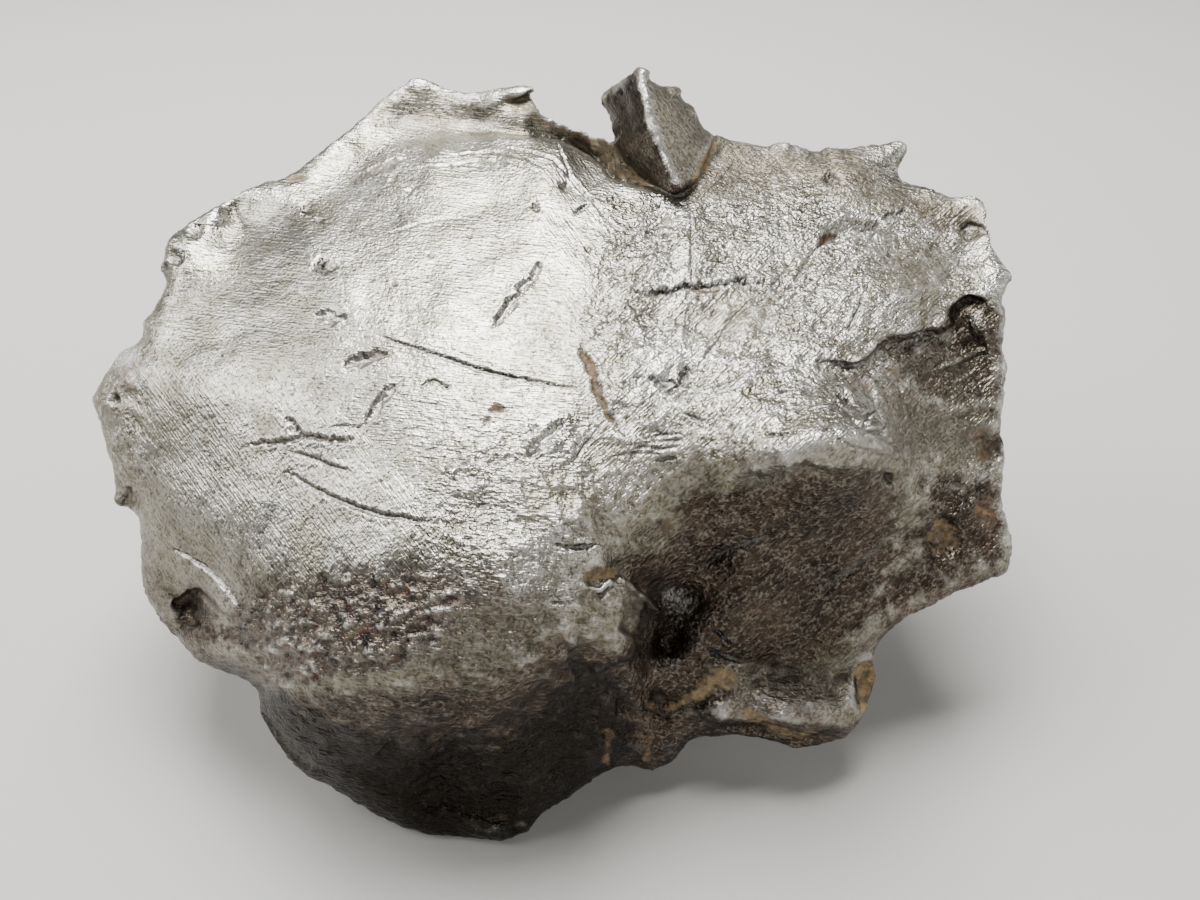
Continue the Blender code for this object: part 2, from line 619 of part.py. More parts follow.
def build_skins():
    """All places in space and the triangles of the closed lump."""
    rim, rim_relief, wall, radius = rim_loop()
    rim_known = np.column_stack((rim, rim_relief))[::2]
    half_wall = np.column_stack((np.zeros((len(rim_known), 2)), wall[::2] / 2))
    front_skin = smooth_skin(sections(FRONT_SECTIONS) + list(rim_known + half_wall))
    back_skin = smooth_skin(sections(BACK_SECTIONS) + list(rim_known - half_wall))

    def front_relief(flat):
        fall, off = rounded_off(flat, rim, wall, radius)
        relief = front_skin(flat) + waves(flat, FRONT_WAVE, 0.0) * np.clip(off / 6, 0, 1)
        relief += lined(flat, FRONT_LINES) - stepped(flat, FRONT_STEPS) - pitted(flat, FRONT_PITS)
        relief = np.where(inside(flat, np.array(FIN_AREA)), fin_relief(flat), relief) - fall
        return np.maximum(relief, ground_relief(flat[:, 1]))

    def back_relief(flat):
        fall, off = rounded_off(flat, rim, wall, radius)
        relief = back_skin(flat) + fall + waves(flat, BACK_WAVE, 5.0) * np.clip(off / 6, 0, 1)
        relief += pitted(flat, BACK_PITS) + stepped(flat, BACK_STEPS) - lined(flat, BACK_LINES)
        relief = np.minimum(relief, front_relief(flat) - np.minimum(THINNEST, 1.2 * off))
        return np.maximum(relief, ground_relief(flat[:, 1]))

    front_lines = beside(FIN_FOOT) + [resampled(FIN_CREST, LINE_SPACING)]
    for step in FRONT_STEPS:
        front_lines += beside(step["line"])
    back_lines = [line for step in BACK_STEPS for line in beside(step["line"])]
    places, faces, rim_at = [], [], {}
    for facets, lines, relief_of, flip in (
        (FRONT_FACETS, front_lines, front_relief, False),
        (BACK_FACETS, back_lines, back_relief, True),
    ):
        flat, triangles, on_rim = net(rim, lines, facets, relief_of)
        relief = relief_of(flat)
        relief[on_rim >= 0] = rim_relief[on_rim[on_rim >= 0]]
        space = in_space(flat, relief)
        index = np.empty(len(flat), int)
        for i, source in enumerate(on_rim):
            if source >= 0 and source in rim_at:
                index[i] = rim_at[source]
                continue
            index[i] = len(places)
            places.append(space[i])
            if source >= 0:
                rim_at[source] = index[i]
        triangles = index[triangles]
        faces.append(triangles[:, ::-1] if flip else triangles)
    return np.array(places), np.concatenate(faces)


def bare_iron():
    """Wire-brushed nickel-iron with a brown bloom."""
    material = bpy.data.materials.new("wire_brushed_nickel_iron")
    material.use_nodes = True
    surface = material.node_tree.nodes["Principled BSDF"]
    surface.inputs["Base Color"].default_value = IRON_COLOUR
    surface.inputs["Metallic"].default_value = 0.9
    surface.inputs["Roughness"].default_value = 0.42
    material.diffuse_color = IRON_COLOUR
    return material


def main():
    for old in list(bpy.data.objects):
        bpy.data.objects.remove(old, do_unlink=True)
    places, faces = build_skins()
    low, high = places.min(axis=0), places.max(axis=0)
    places -= ((low[0] + high[0]) / 2, (low[1] + high[1]) / 2, low[2])
    mesh = bpy.data.meshes.new("meteorite")
    mesh.from_pydata((places * MM).tolist(), [], faces.tolist())
    mesh.materials.append(bare_iron())
    mesh.validate()
    piece = bpy.data.objects.new("meteorite", mesh)
    bpy.context.scene.collection.objects.link(piece)


main()
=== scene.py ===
"""Looks of the iron meteorite shrapnel: a torn, wire-brushed lump of nickel-iron.

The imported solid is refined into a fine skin, which then gets its dents, gouges, scratches, pits, flaked
crust and stains. Each mark is placed where the camera sees it, in pixels of the 1200 x 900 picture, and is
pressed into the skin there, so it belongs to the lump from every side. Lengths are millimetres until the
mesh is made.
"""

import math
from functools import partial

import bpy
import numpy as np
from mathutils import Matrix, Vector, noise


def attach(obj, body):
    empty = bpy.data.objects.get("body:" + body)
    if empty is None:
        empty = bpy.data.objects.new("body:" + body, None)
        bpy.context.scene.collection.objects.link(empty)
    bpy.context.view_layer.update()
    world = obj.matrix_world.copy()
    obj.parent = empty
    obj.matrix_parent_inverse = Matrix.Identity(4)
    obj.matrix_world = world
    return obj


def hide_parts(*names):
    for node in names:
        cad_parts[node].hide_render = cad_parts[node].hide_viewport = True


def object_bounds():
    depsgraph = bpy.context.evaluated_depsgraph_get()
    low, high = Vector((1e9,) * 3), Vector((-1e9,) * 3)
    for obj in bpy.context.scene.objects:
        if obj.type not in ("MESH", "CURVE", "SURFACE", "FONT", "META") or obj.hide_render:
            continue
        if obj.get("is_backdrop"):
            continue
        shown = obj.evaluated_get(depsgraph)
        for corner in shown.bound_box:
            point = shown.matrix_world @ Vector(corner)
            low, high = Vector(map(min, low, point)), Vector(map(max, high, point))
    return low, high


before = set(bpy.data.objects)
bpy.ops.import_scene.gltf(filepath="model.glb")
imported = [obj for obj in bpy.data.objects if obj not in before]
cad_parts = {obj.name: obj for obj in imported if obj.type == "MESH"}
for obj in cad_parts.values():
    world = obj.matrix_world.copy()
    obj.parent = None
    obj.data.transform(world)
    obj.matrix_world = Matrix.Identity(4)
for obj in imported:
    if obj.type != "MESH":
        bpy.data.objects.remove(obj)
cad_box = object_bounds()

MM = 0.001
NODE = "meteorite"

# The camera, from which every mark is placed
EYE = np.array((7.94, -140.2, 158.0))
EYE_PITCH = math.radians(41.0)
LENS, SENSOR = 30.0, 36.0
PICTURE = (1200, 900)
FOCAL = PICTURE[0] * LENS / SENSOR
FORWARD = np.array((0.0, math.cos(EYE_PITCH), -math.sin(EYE_PITCH)))
PIXEL = 200.0 / FOCAL  # a pixel's width in millimetres, on a plane 200 mm from the camera
UP = np.array((0.0, math.sin(EYE_PITCH), math.cos(EYE_PITCH)))
RIGHT = np.array((1.0, 0.0, 0.0))

# Longest edges of the skin in millimetres: on the hidden side, on the side that the marks are on, along a
# mark, and under the crust
BACK_EDGE = 2.3
FRONT_EDGE = 0.95
MARK_EDGE = 0.42
CRUST_EDGE = MARK_EDGE * 1.35
PIT_EDGE = 0.03  # of a pit's radius in pixels, where that is longer than MARK_EDGE
MOST_TRIANGLES = 196000

# How often the skin's edges may be halved, after which of those times it is softened, and over how many
# neighbours a form is averaged to see how hollow and how sharp the skin is
HALVINGS = 7
SOFTENED_AFTER = (1, 2, 3)
BROAD_ROUNDS = 24
NARROW_ROUNDS = 2
GIVEN_BACK = 0.6  # of what the softening shrinks

# The direction in the picture, across and down, in which a mark's far wall catches the light. Marks get
# painted shade on the other wall and a painted highlight on this one
LIT = np.array((0.45, 0.89))

# Gouges, cracks and scratches: line and full width in pixels, depth and height of the pushed-up lips in
# millimetres, how ragged the sides are, and what the bottom holds. Dark in a mark is painted shade.
GOUGES = (
    dict(name="jagged gouge", line=((494, 327), (501, 316), (509, 304), (518, 292), (527, 281),
         (534, 273), (543, 263)), width=12, depth=0.8, lip=0.12, ragged=0.5, dark=0.9, core=0.6),
    dict(name="gouge with tan rust", line=((580, 345), (584, 352), (590, 365), (595, 380), (600, 397),
         (610, 413), (622, 427)), width=10, depth=0.8, lip=0.12, ragged=0.35, dark=0.6, rust=0.95,
         clay=0.7),
    dict(name="pointed gouge", line=((364, 425), (373, 412), (384, 397), (397, 385)), width=12, depth=0.6,
         lip=0.12, ragged=0.35, dark=0.85, core=0.7),
    dict(name="lens gouge", line=((345, 363), (356, 361), (371, 356), (388, 352)), width=15, depth=0.7,
         lip=0.1, ragged=0.25, dark=0.6, rust=0.45),
    dict(name="long dent", line=((315, 312), (326, 314), (338, 318), (354, 322)), width=14, depth=0.6,
         lip=0.12, ragged=0.45, dark=0.75, core=0.5),
    dict(name="bright-sided gouge", line=((528, 457), (538, 446), (550, 433), (562, 420)), width=14,
         depth=0.7, lip=0.12, ragged=0.35, dark=0.7, core=0.6),
    dict(name="short scratch", line=((575, 460), (582, 449), (590, 437)), width=4, depth=0.35, lip=0.05,
         dark=0.8),
    dict(name="long upper scratch", line=((379, 336), (400, 343), (424, 351), (450, 359), (478, 369),
         (512, 377), (546, 384), (579, 389)), width=6, depth=0.35, lip=0.09, dark=0.9),
    dict(name="long lower scratch", line=((287, 472), (310, 486), (333, 498), (356, 507), (378, 514),
         (408, 519), (438, 523)), width=8, depth=0.45, lip=0.14, dark=0.8),
    dict(name="shallow twin scratch", line=((290, 451), (312, 458), (330, 466), (352, 472)), width=6,
         depth=0.3, lip=0.06, dark=0.8),
    dict(name="rusty crack", line=((254, 445), (270, 443), (288, 440), (302, 436), (316, 438), (334, 440),
         (353, 440)), width=8, depth=0.6, lip=0.1, ragged=0.5, dark=0.75, rust=0.5),
    dict(name="branch of the rusty crack", line=((285, 418), (293, 427), (302, 436)), width=10, depth=0.6,
         lip=0.1, ragged=0.5, dark=0.7),
    dict(name="crack to the pointed gouge", line=((330, 427), (345, 426), (359, 428), (364, 424)),
         width=3, depth=0.3, ragged=0.3, dark=0.6),
    dict(name="orange crack", line=((634, 293), (646, 291), (658, 290), (670, 291), (680, 287),
         (692, 285), (702, 286), (714, 283), (728, 281), (746, 279), (764, 279)), width=9, depth=1.0,
         lip=0.2, ragged=0.5, dark=0.95),
    dict(name="pocket under the orange crack", line=((688, 291), (700, 291), (712, 290), (722, 287)),
         width=8, depth=0.4, ragged=0.3, rust=1.0),
    dict(name="upright line", line=((692, 214), (692, 240), (692, 262), (692, 284)), width=5, depth=0.3,
         lip=0.08, dark=0.8),
    dict(name="crescent", line=((650, 377), (663, 383), (675, 386), (685, 378), (690, 368)), width=14,
         depth=0.9, lip=0.2, ragged=0.4, dark=0.9),
    dict(name="crease from the dome", line=((508, 147), (532, 152), (552, 158), (566, 172), (578, 186),
         (592, 200), (604, 214), (616, 228), (627, 240)), width=5, depth=0.3, lip=0.12, dark=0.6),
    dict(name="crease beside the saddle", line=((557, 142), (564, 158), (572, 178), (588, 196)), width=4,
         depth=0.3, lip=0.1, dark=0.5),
    dict(name="brush line over the dome", line=((440, 157), (470, 153), (500, 152), (528, 160),
         (552, 170)), width=3, depth=0.2, lip=0.08, dark=0.5),
    dict(name="second brush line", line=((446, 165), (480, 160), (512, 163), (540, 172)), width=3,
         depth=0.2, lip=0.08, dark=0.4),
    dict(name="third brush line", line=((405, 171), (430, 166), (462, 164), (490, 168)), width=3,
         depth=0.18, lip=0.06, dark=0.4),
    dict(name="smear on the shoulder", line=((369, 171), (381, 168), (394, 162), (405, 158)), width=9,
         depth=0.3, ragged=0.4, dark=0.35, rust=0.6),
    dict(name="gold mark on the edge", line=((287, 180), (296, 178), (306, 177)), width=8, depth=0.3,
         clay=1.0),
    dict(name="fine arc", line=((283, 300), (286, 293), (292, 291), (300, 293), (306, 298)), width=3,
         depth=0.3, ragged=0.3, dark=0.7),
    dict(name="faint lines", line=((390, 233), (405, 229), (420, 223), (440, 219), (462, 218)), width=3,
         depth=0.18, dark=0.4),
    dict(name="slanting nick", line=((573, 214), (581, 209), (588, 204)), width=5, depth=0.5, lip=0.05,
         dark=0.8),
    dict(name="fine nick", line=((612, 252), (620, 245), (630, 239)), width=3, depth=0.3, dark=0.8),
    dict(name="curl", line=((420, 389), (427, 383), (436, 382), (444, 388), (452, 386)), width=4,
         depth=0.4, ragged=0.4, dark=0.8),
    dict(name="upper hatch", line=((646, 438), (662, 435), (682, 433)), width=5, depth=0.4, lip=0.1,
         dark=0.8),
    dict(name="second hatch", line=((642, 444), (660, 441), (684, 440)), width=5, depth=0.35, lip=0.1,
         dark=0.7),
    dict(name="third hatch", line=((633, 448), (648, 447), (660, 450), (676, 447)), width=6, depth=0.4,
         lip=0.1, dark=0.8),
    dict(name="fourth hatch", line=((612, 456), (630, 453), (648, 453), (662, 455)), width=5, depth=0.35,
         lip=0.1, dark=0.6),
    dict(name="blunt hatch", line=((654, 461), (664, 460), (676, 458)), width=7, depth=0.6, ragged=0.3,
         dark=0.8),
    dict(name="nick right of the hatch", line=((686, 414), (695, 417), (706, 422)), width=5, depth=0.5,
         lip=0.08, dark=0.85),
    dict(name="nick left of the hatch", line=((613, 406), (620, 403), (627, 407), (632, 415)), width=6,
         depth=0.4, ragged=0.4, dark=0.6),
    dict(name="fold below the patch", line=((556, 543), (568, 547), (582, 547), (597, 545)), width=8,
         depth=0.8, lip=0.2, ragged=0.4, dark=0.9),
    dict(name="upright edge", line=((531, 530), (534, 540), (534, 552), (535, 562)), width=4, depth=0.4,
         lip=0.15, dark=0.5),
    dict(name="small crescent", line=((506, 553), (513, 557), (521, 555)), width=5, depth=0.4, lip=0.15,
         dark=0.6),
    dict(name="crease over the nose", line=((552, 603), (564, 603), (577, 600)), width=5, depth=0.5,
         lip=0.1, dark=0.7),
    dict(name="left crack", line=((172, 546), (182, 553), (196, 560), (208, 568), (218, 578), (228, 592),
         (238, 606)), width=5, depth=0.6, lip=0.14, ragged=0.4, dark=0.8),
    dict(name="knuckle line", line=((684, 381), (697, 366), (712, 350), (722, 334), (732, 316)), width=5,
         depth=0.2, lip=0.08, dark=0.6),
    dict(name="slit", line=((764, 433), (774, 434), (784, 433), (796, 430)), width=7, depth=0.6, lip=0.1,
         dark=0.9),
    dict(name="lens hollow", line=((820, 242), (832, 232), (846, 226), (862, 224), (880, 222)), width=17,
         depth=1.5, lip=0.25, ragged=0.15, dark=0.4, core=0.55),
    dict(name="rusty end of the lens", line=((820, 241), (828, 234), (838, 228)), width=10, depth=0.5,
         ragged=0.3, dark=0.3, rust=0.9),
    dict(name="dark end of the lens", line=((864, 221), (872, 224), (880, 220)), width=9, depth=0.7,
         ragged=0.5, dark=0.9),
    dict(name="crack from the lens", line=((882, 218), (890, 214), (898, 214), (908, 208)), width=6,
         depth=0.5, lip=0.1, ragged=0.4, dark=0.9),
    dict(name="lower fold of the lens", line=((780, 296), (796, 279), (806, 262), (818, 244)), width=9,
         depth=0.5, lip=0.15, dark=0.6),
    dict(name="branch up from the ledge", line=((849, 327), (855, 317), (859, 306), (862, 296)), width=6,
         depth=0.7, lip=0.1, ragged=0.4, dark=0.9),
    dict(name="ledge line", line=((800, 357), (820, 360), (836, 362), (850, 366), (862, 364), (872, 356),
         (880, 347), (892, 340), (906, 336), (922, 333), (940, 331), (950, 328)), width=6, depth=0.5,
         lip=0.15, ragged=0.4, dark=0.9),
    dict(name="crack under the ledge", line=((856, 372), (868, 385), (877, 402)), width=7, depth=0.6,
         ragged=0.5, dark=0.9, rust=0.7),
    dict(name="rust below the ledge", line=((882, 366), (892, 374), (902, 390)), width=9, depth=0.3,
         ragged=0.5, rust=0.8, dark=0.5),
    dict(name="ring hollow", line=((879, 410), (870, 412), (866, 420), (870, 430), (882, 432),
         (887, 424)), width=7, depth=0.8, lip=0.2, ragged=0.3, dark=0.8, clay=0.3),
    dict(name="line from the ring", line=((896, 440), (902, 448), (904, 460)), width=3, depth=0.3,
         lip=0.1, dark=0.4),
    dict(name="cove ridge", line=((936, 370), (950, 364), (966, 357), (984, 350)), width=6, depth=-0.5,
         clay=0.3),
    dict(name="second cove ridge", line=((950, 385), (966, 376), (984, 368)), width=5, depth=-0.3),
    dict(name="knuckle groove", line=((852, 420), (868, 430), (884, 438), (900, 452)), width=7, depth=0.5,
         lip=0.2, ragged=0.3, dark=0.4),
    dict(name="second knuckle groove", line=((836, 438), (854, 446), (872, 450), (896, 458)), width=5,
         depth=0.4, lip=0.15, ragged=0.3, dark=0.4),
    dict(name="valley light line", line=((838, 533), (852, 526), (866, 522), (880, 517)), width=5,
         depth=-0.4),
    dict(name="fold of the valley", line=((700, 568), (718, 558), (736, 548), (752, 540), (768, 536)),
         width=9, depth=0.4, lip=0.1, ragged=0.6, dark=0.5),
    dict(name="lower valley fold", line=((820, 590), (850, 570), (880, 545), (905, 528)), width=9,
         depth=0.4, ragged=0.6, dark=0.4),
    dict(name="upper crease at the hole", line=((712, 627), (721, 636), (732, 646)), width=6, depth=0.8,
         lip=0.2, dark=1.0),
    dict(name="lower crease at the hole", line=((703, 647), (715, 653), (728, 657), (742, 662)), width=6,
         depth=0.8, lip=0.2, dark=1.0),
    dict(name="white lip of the nose", line=((592, 587), (600, 590), (606, 584), (613, 581)), width=6,
         depth=-0.7, bright=1.0),
    # Painted shadow under the white lip
    dict(name="crease under the lip", line=((594, 594), (603, 597), (610, 590), (616, 586)), width=5,
         depth=0.8, dark=0.9),
    dict(name="curved edge of the nose", line=((618, 578), (628, 583), (640, 593), (650, 603),
         (658, 610)), width=4, depth=-0.35, bright=0.4),
    dict(name="rim crack at the corner", line=((960, 232), (972, 224), (984, 230), (990, 236)), width=6,
         depth=0.4, ragged=0.4, dark=0.7),
    dict(name="groove beside the corner", line=((976, 262), (980, 272), (984, 282)), width=5, depth=0.4,
         lip=0.1, dark=0.5),
    dict(name="lower leaf", line=((262, 712), (276, 732), (290, 752), (306, 766), (326, 773)), width=8,
         depth=0.8, ragged=0.3, dark=0.8, clay=0.3),
    dict(name="second lower leaf", line=((232, 700), (250, 724), (268, 752), (292, 776)), width=7,
         depth=0.6, lip=0.2, ragged=0.4, dark=0.7),
)

# Pits: middle and radius in pixels, depth in millimetres, how ragged, and what they hold. Dark in a pit is
# painted shade
PITS = (
    dict(name="ring pit", at=(322, 268), radius=11, depth=0.7, ragged=0.6, dark=0.95, core=0.55),
    dict(name="upper ragged pit", at=(307, 207), radius=8, depth=0.5, ragged=0.7, dark=0.8, core=0.4),
    dict(name="tail of the ragged pit", at=(318, 219), radius=5, depth=0.3, ragged=0.5, rust=0.5),
    dict(name="brown nick", at=(393, 178), radius=5, depth=0.3, ragged=0.6, rust=0.7),
    dict(name="olive nick", at=(409, 190), radius=6, depth=0.3, ragged=0.7, dark=0.4, clay=0.3),
    dict(name="dot on the dome", at=(394, 283), radius=3, depth=0.35, dark=0.9),
    dict(name="brown fleck", at=(430, 256), radius=4, depth=0.3, ragged=0.8, rust=0.8),
    dict(name="fleck on the dome", at=(470, 236), radius=4, depth=0.25, ragged=0.8, dark=0.7),
    dict(name="brown pit on the dome", at=(566, 186), radius=6, depth=0.6, ragged=0.5, dark=0.6,
         rust=0.5),
    dict(name="dark pit on the dome", at=(534, 206), radius=6, depth=0.5, ragged=0.7, dark=0.9),
    dict(name="dot by the saddle", at=(588, 249), radius=4, depth=0.35, dark=0.8),
    dict(name="rusty pit", at=(498, 409), radius=9, depth=0.35, ragged=0.6, rust=0.95, dark=0.5),
    dict(name="small rusty pit", at=(487, 421), radius=5, depth=0.25, ragged=0.6, rust=0.8),
    dict(name="pit by the rusty pit", at=(534, 430), radius=6, depth=0.3, ragged=0.6, dark=0.5),
    dict(name="mark below the orange crack", at=(612, 312), radius=6, depth=0.3, ragged=0.7, dark=0.5),
    dict(name="brown mark right of the dome", at=(669, 219), radius=6, depth=0.25, ragged=0.7, rust=0.6),
    dict(name="pit in the crescent", at=(687, 369), radius=7, depth=0.5, ragged=0.5, dark=1.0),
    dict(name="pit on the brow", at=(830, 177), radius=8, depth=0.5, ragged=0.5, dark=0.8),
    dict(name="ragged pit on the brow", at=(843, 400), radius=11, depth=0.8, ragged=0.7, dark=0.7,
         core=0.4),
    dict(name="pit beside the knuckle", at=(889, 479), radius=7, depth=0.9, ragged=0.3, dark=1.0),
    dict(name="rough golden pit", at=(944, 541), radius=21, depth=1.0, ragged=0.45, clay=0.75, crust=0.8),
    dict(name="shadowed rim of the golden pit", at=(950, 525), radius=13, depth=0.6, ragged=0.4,
         dark=0.6),
    dict(name="notch in the rim", at=(996, 448), radius=11, depth=0.35, ragged=0.8, soft=1.5, dark=0.45),
    dict(name="second notch in the rim", at=(984, 505), radius=11, depth=0.5, ragged=0.6, soft=1.5,
         rust=0.6),
    dict(name="pit on the left lobe", at=(114, 399), radius=7, depth=0.9, ragged=0.5, dark=0.8),
    dict(name="hollow in the left notch", at=(127, 500), radius=13, depth=0.8, ragged=0.6, soft=1.5,
         dark=0.6),
    dict(name="dent in the left rim", at=(197, 231), radius=9, depth=0.6, ragged=0.6, soft=1.4, dark=0.7),
    dict(name="hollow in the left rim", at=(179, 257), radius=11, depth=0.7, ragged=0.6, soft=1.4,
         dark=0.7),
    dict(name="dent below the left rim", at=(164, 266), radius=6, depth=0.6, ragged=0.4, dark=0.8),
    dict(name="rough knob at the hole", at=(677, 603), radius=12, depth=-1.1, ragged=1.4),
    dict(name="hollow under the bulge", at=(585, 722), radius=30, depth=1.4, ragged=0.2, dark=0.7),
    dict(name="hollow in the belly", at=(455, 768), radius=38, depth=1.2, ragged=0.2, dark=0.6),
    dict(name="dimple left of the crust", at=(430, 790), radius=26, depth=0.8, ragged=0.2, dark=0.3),
)
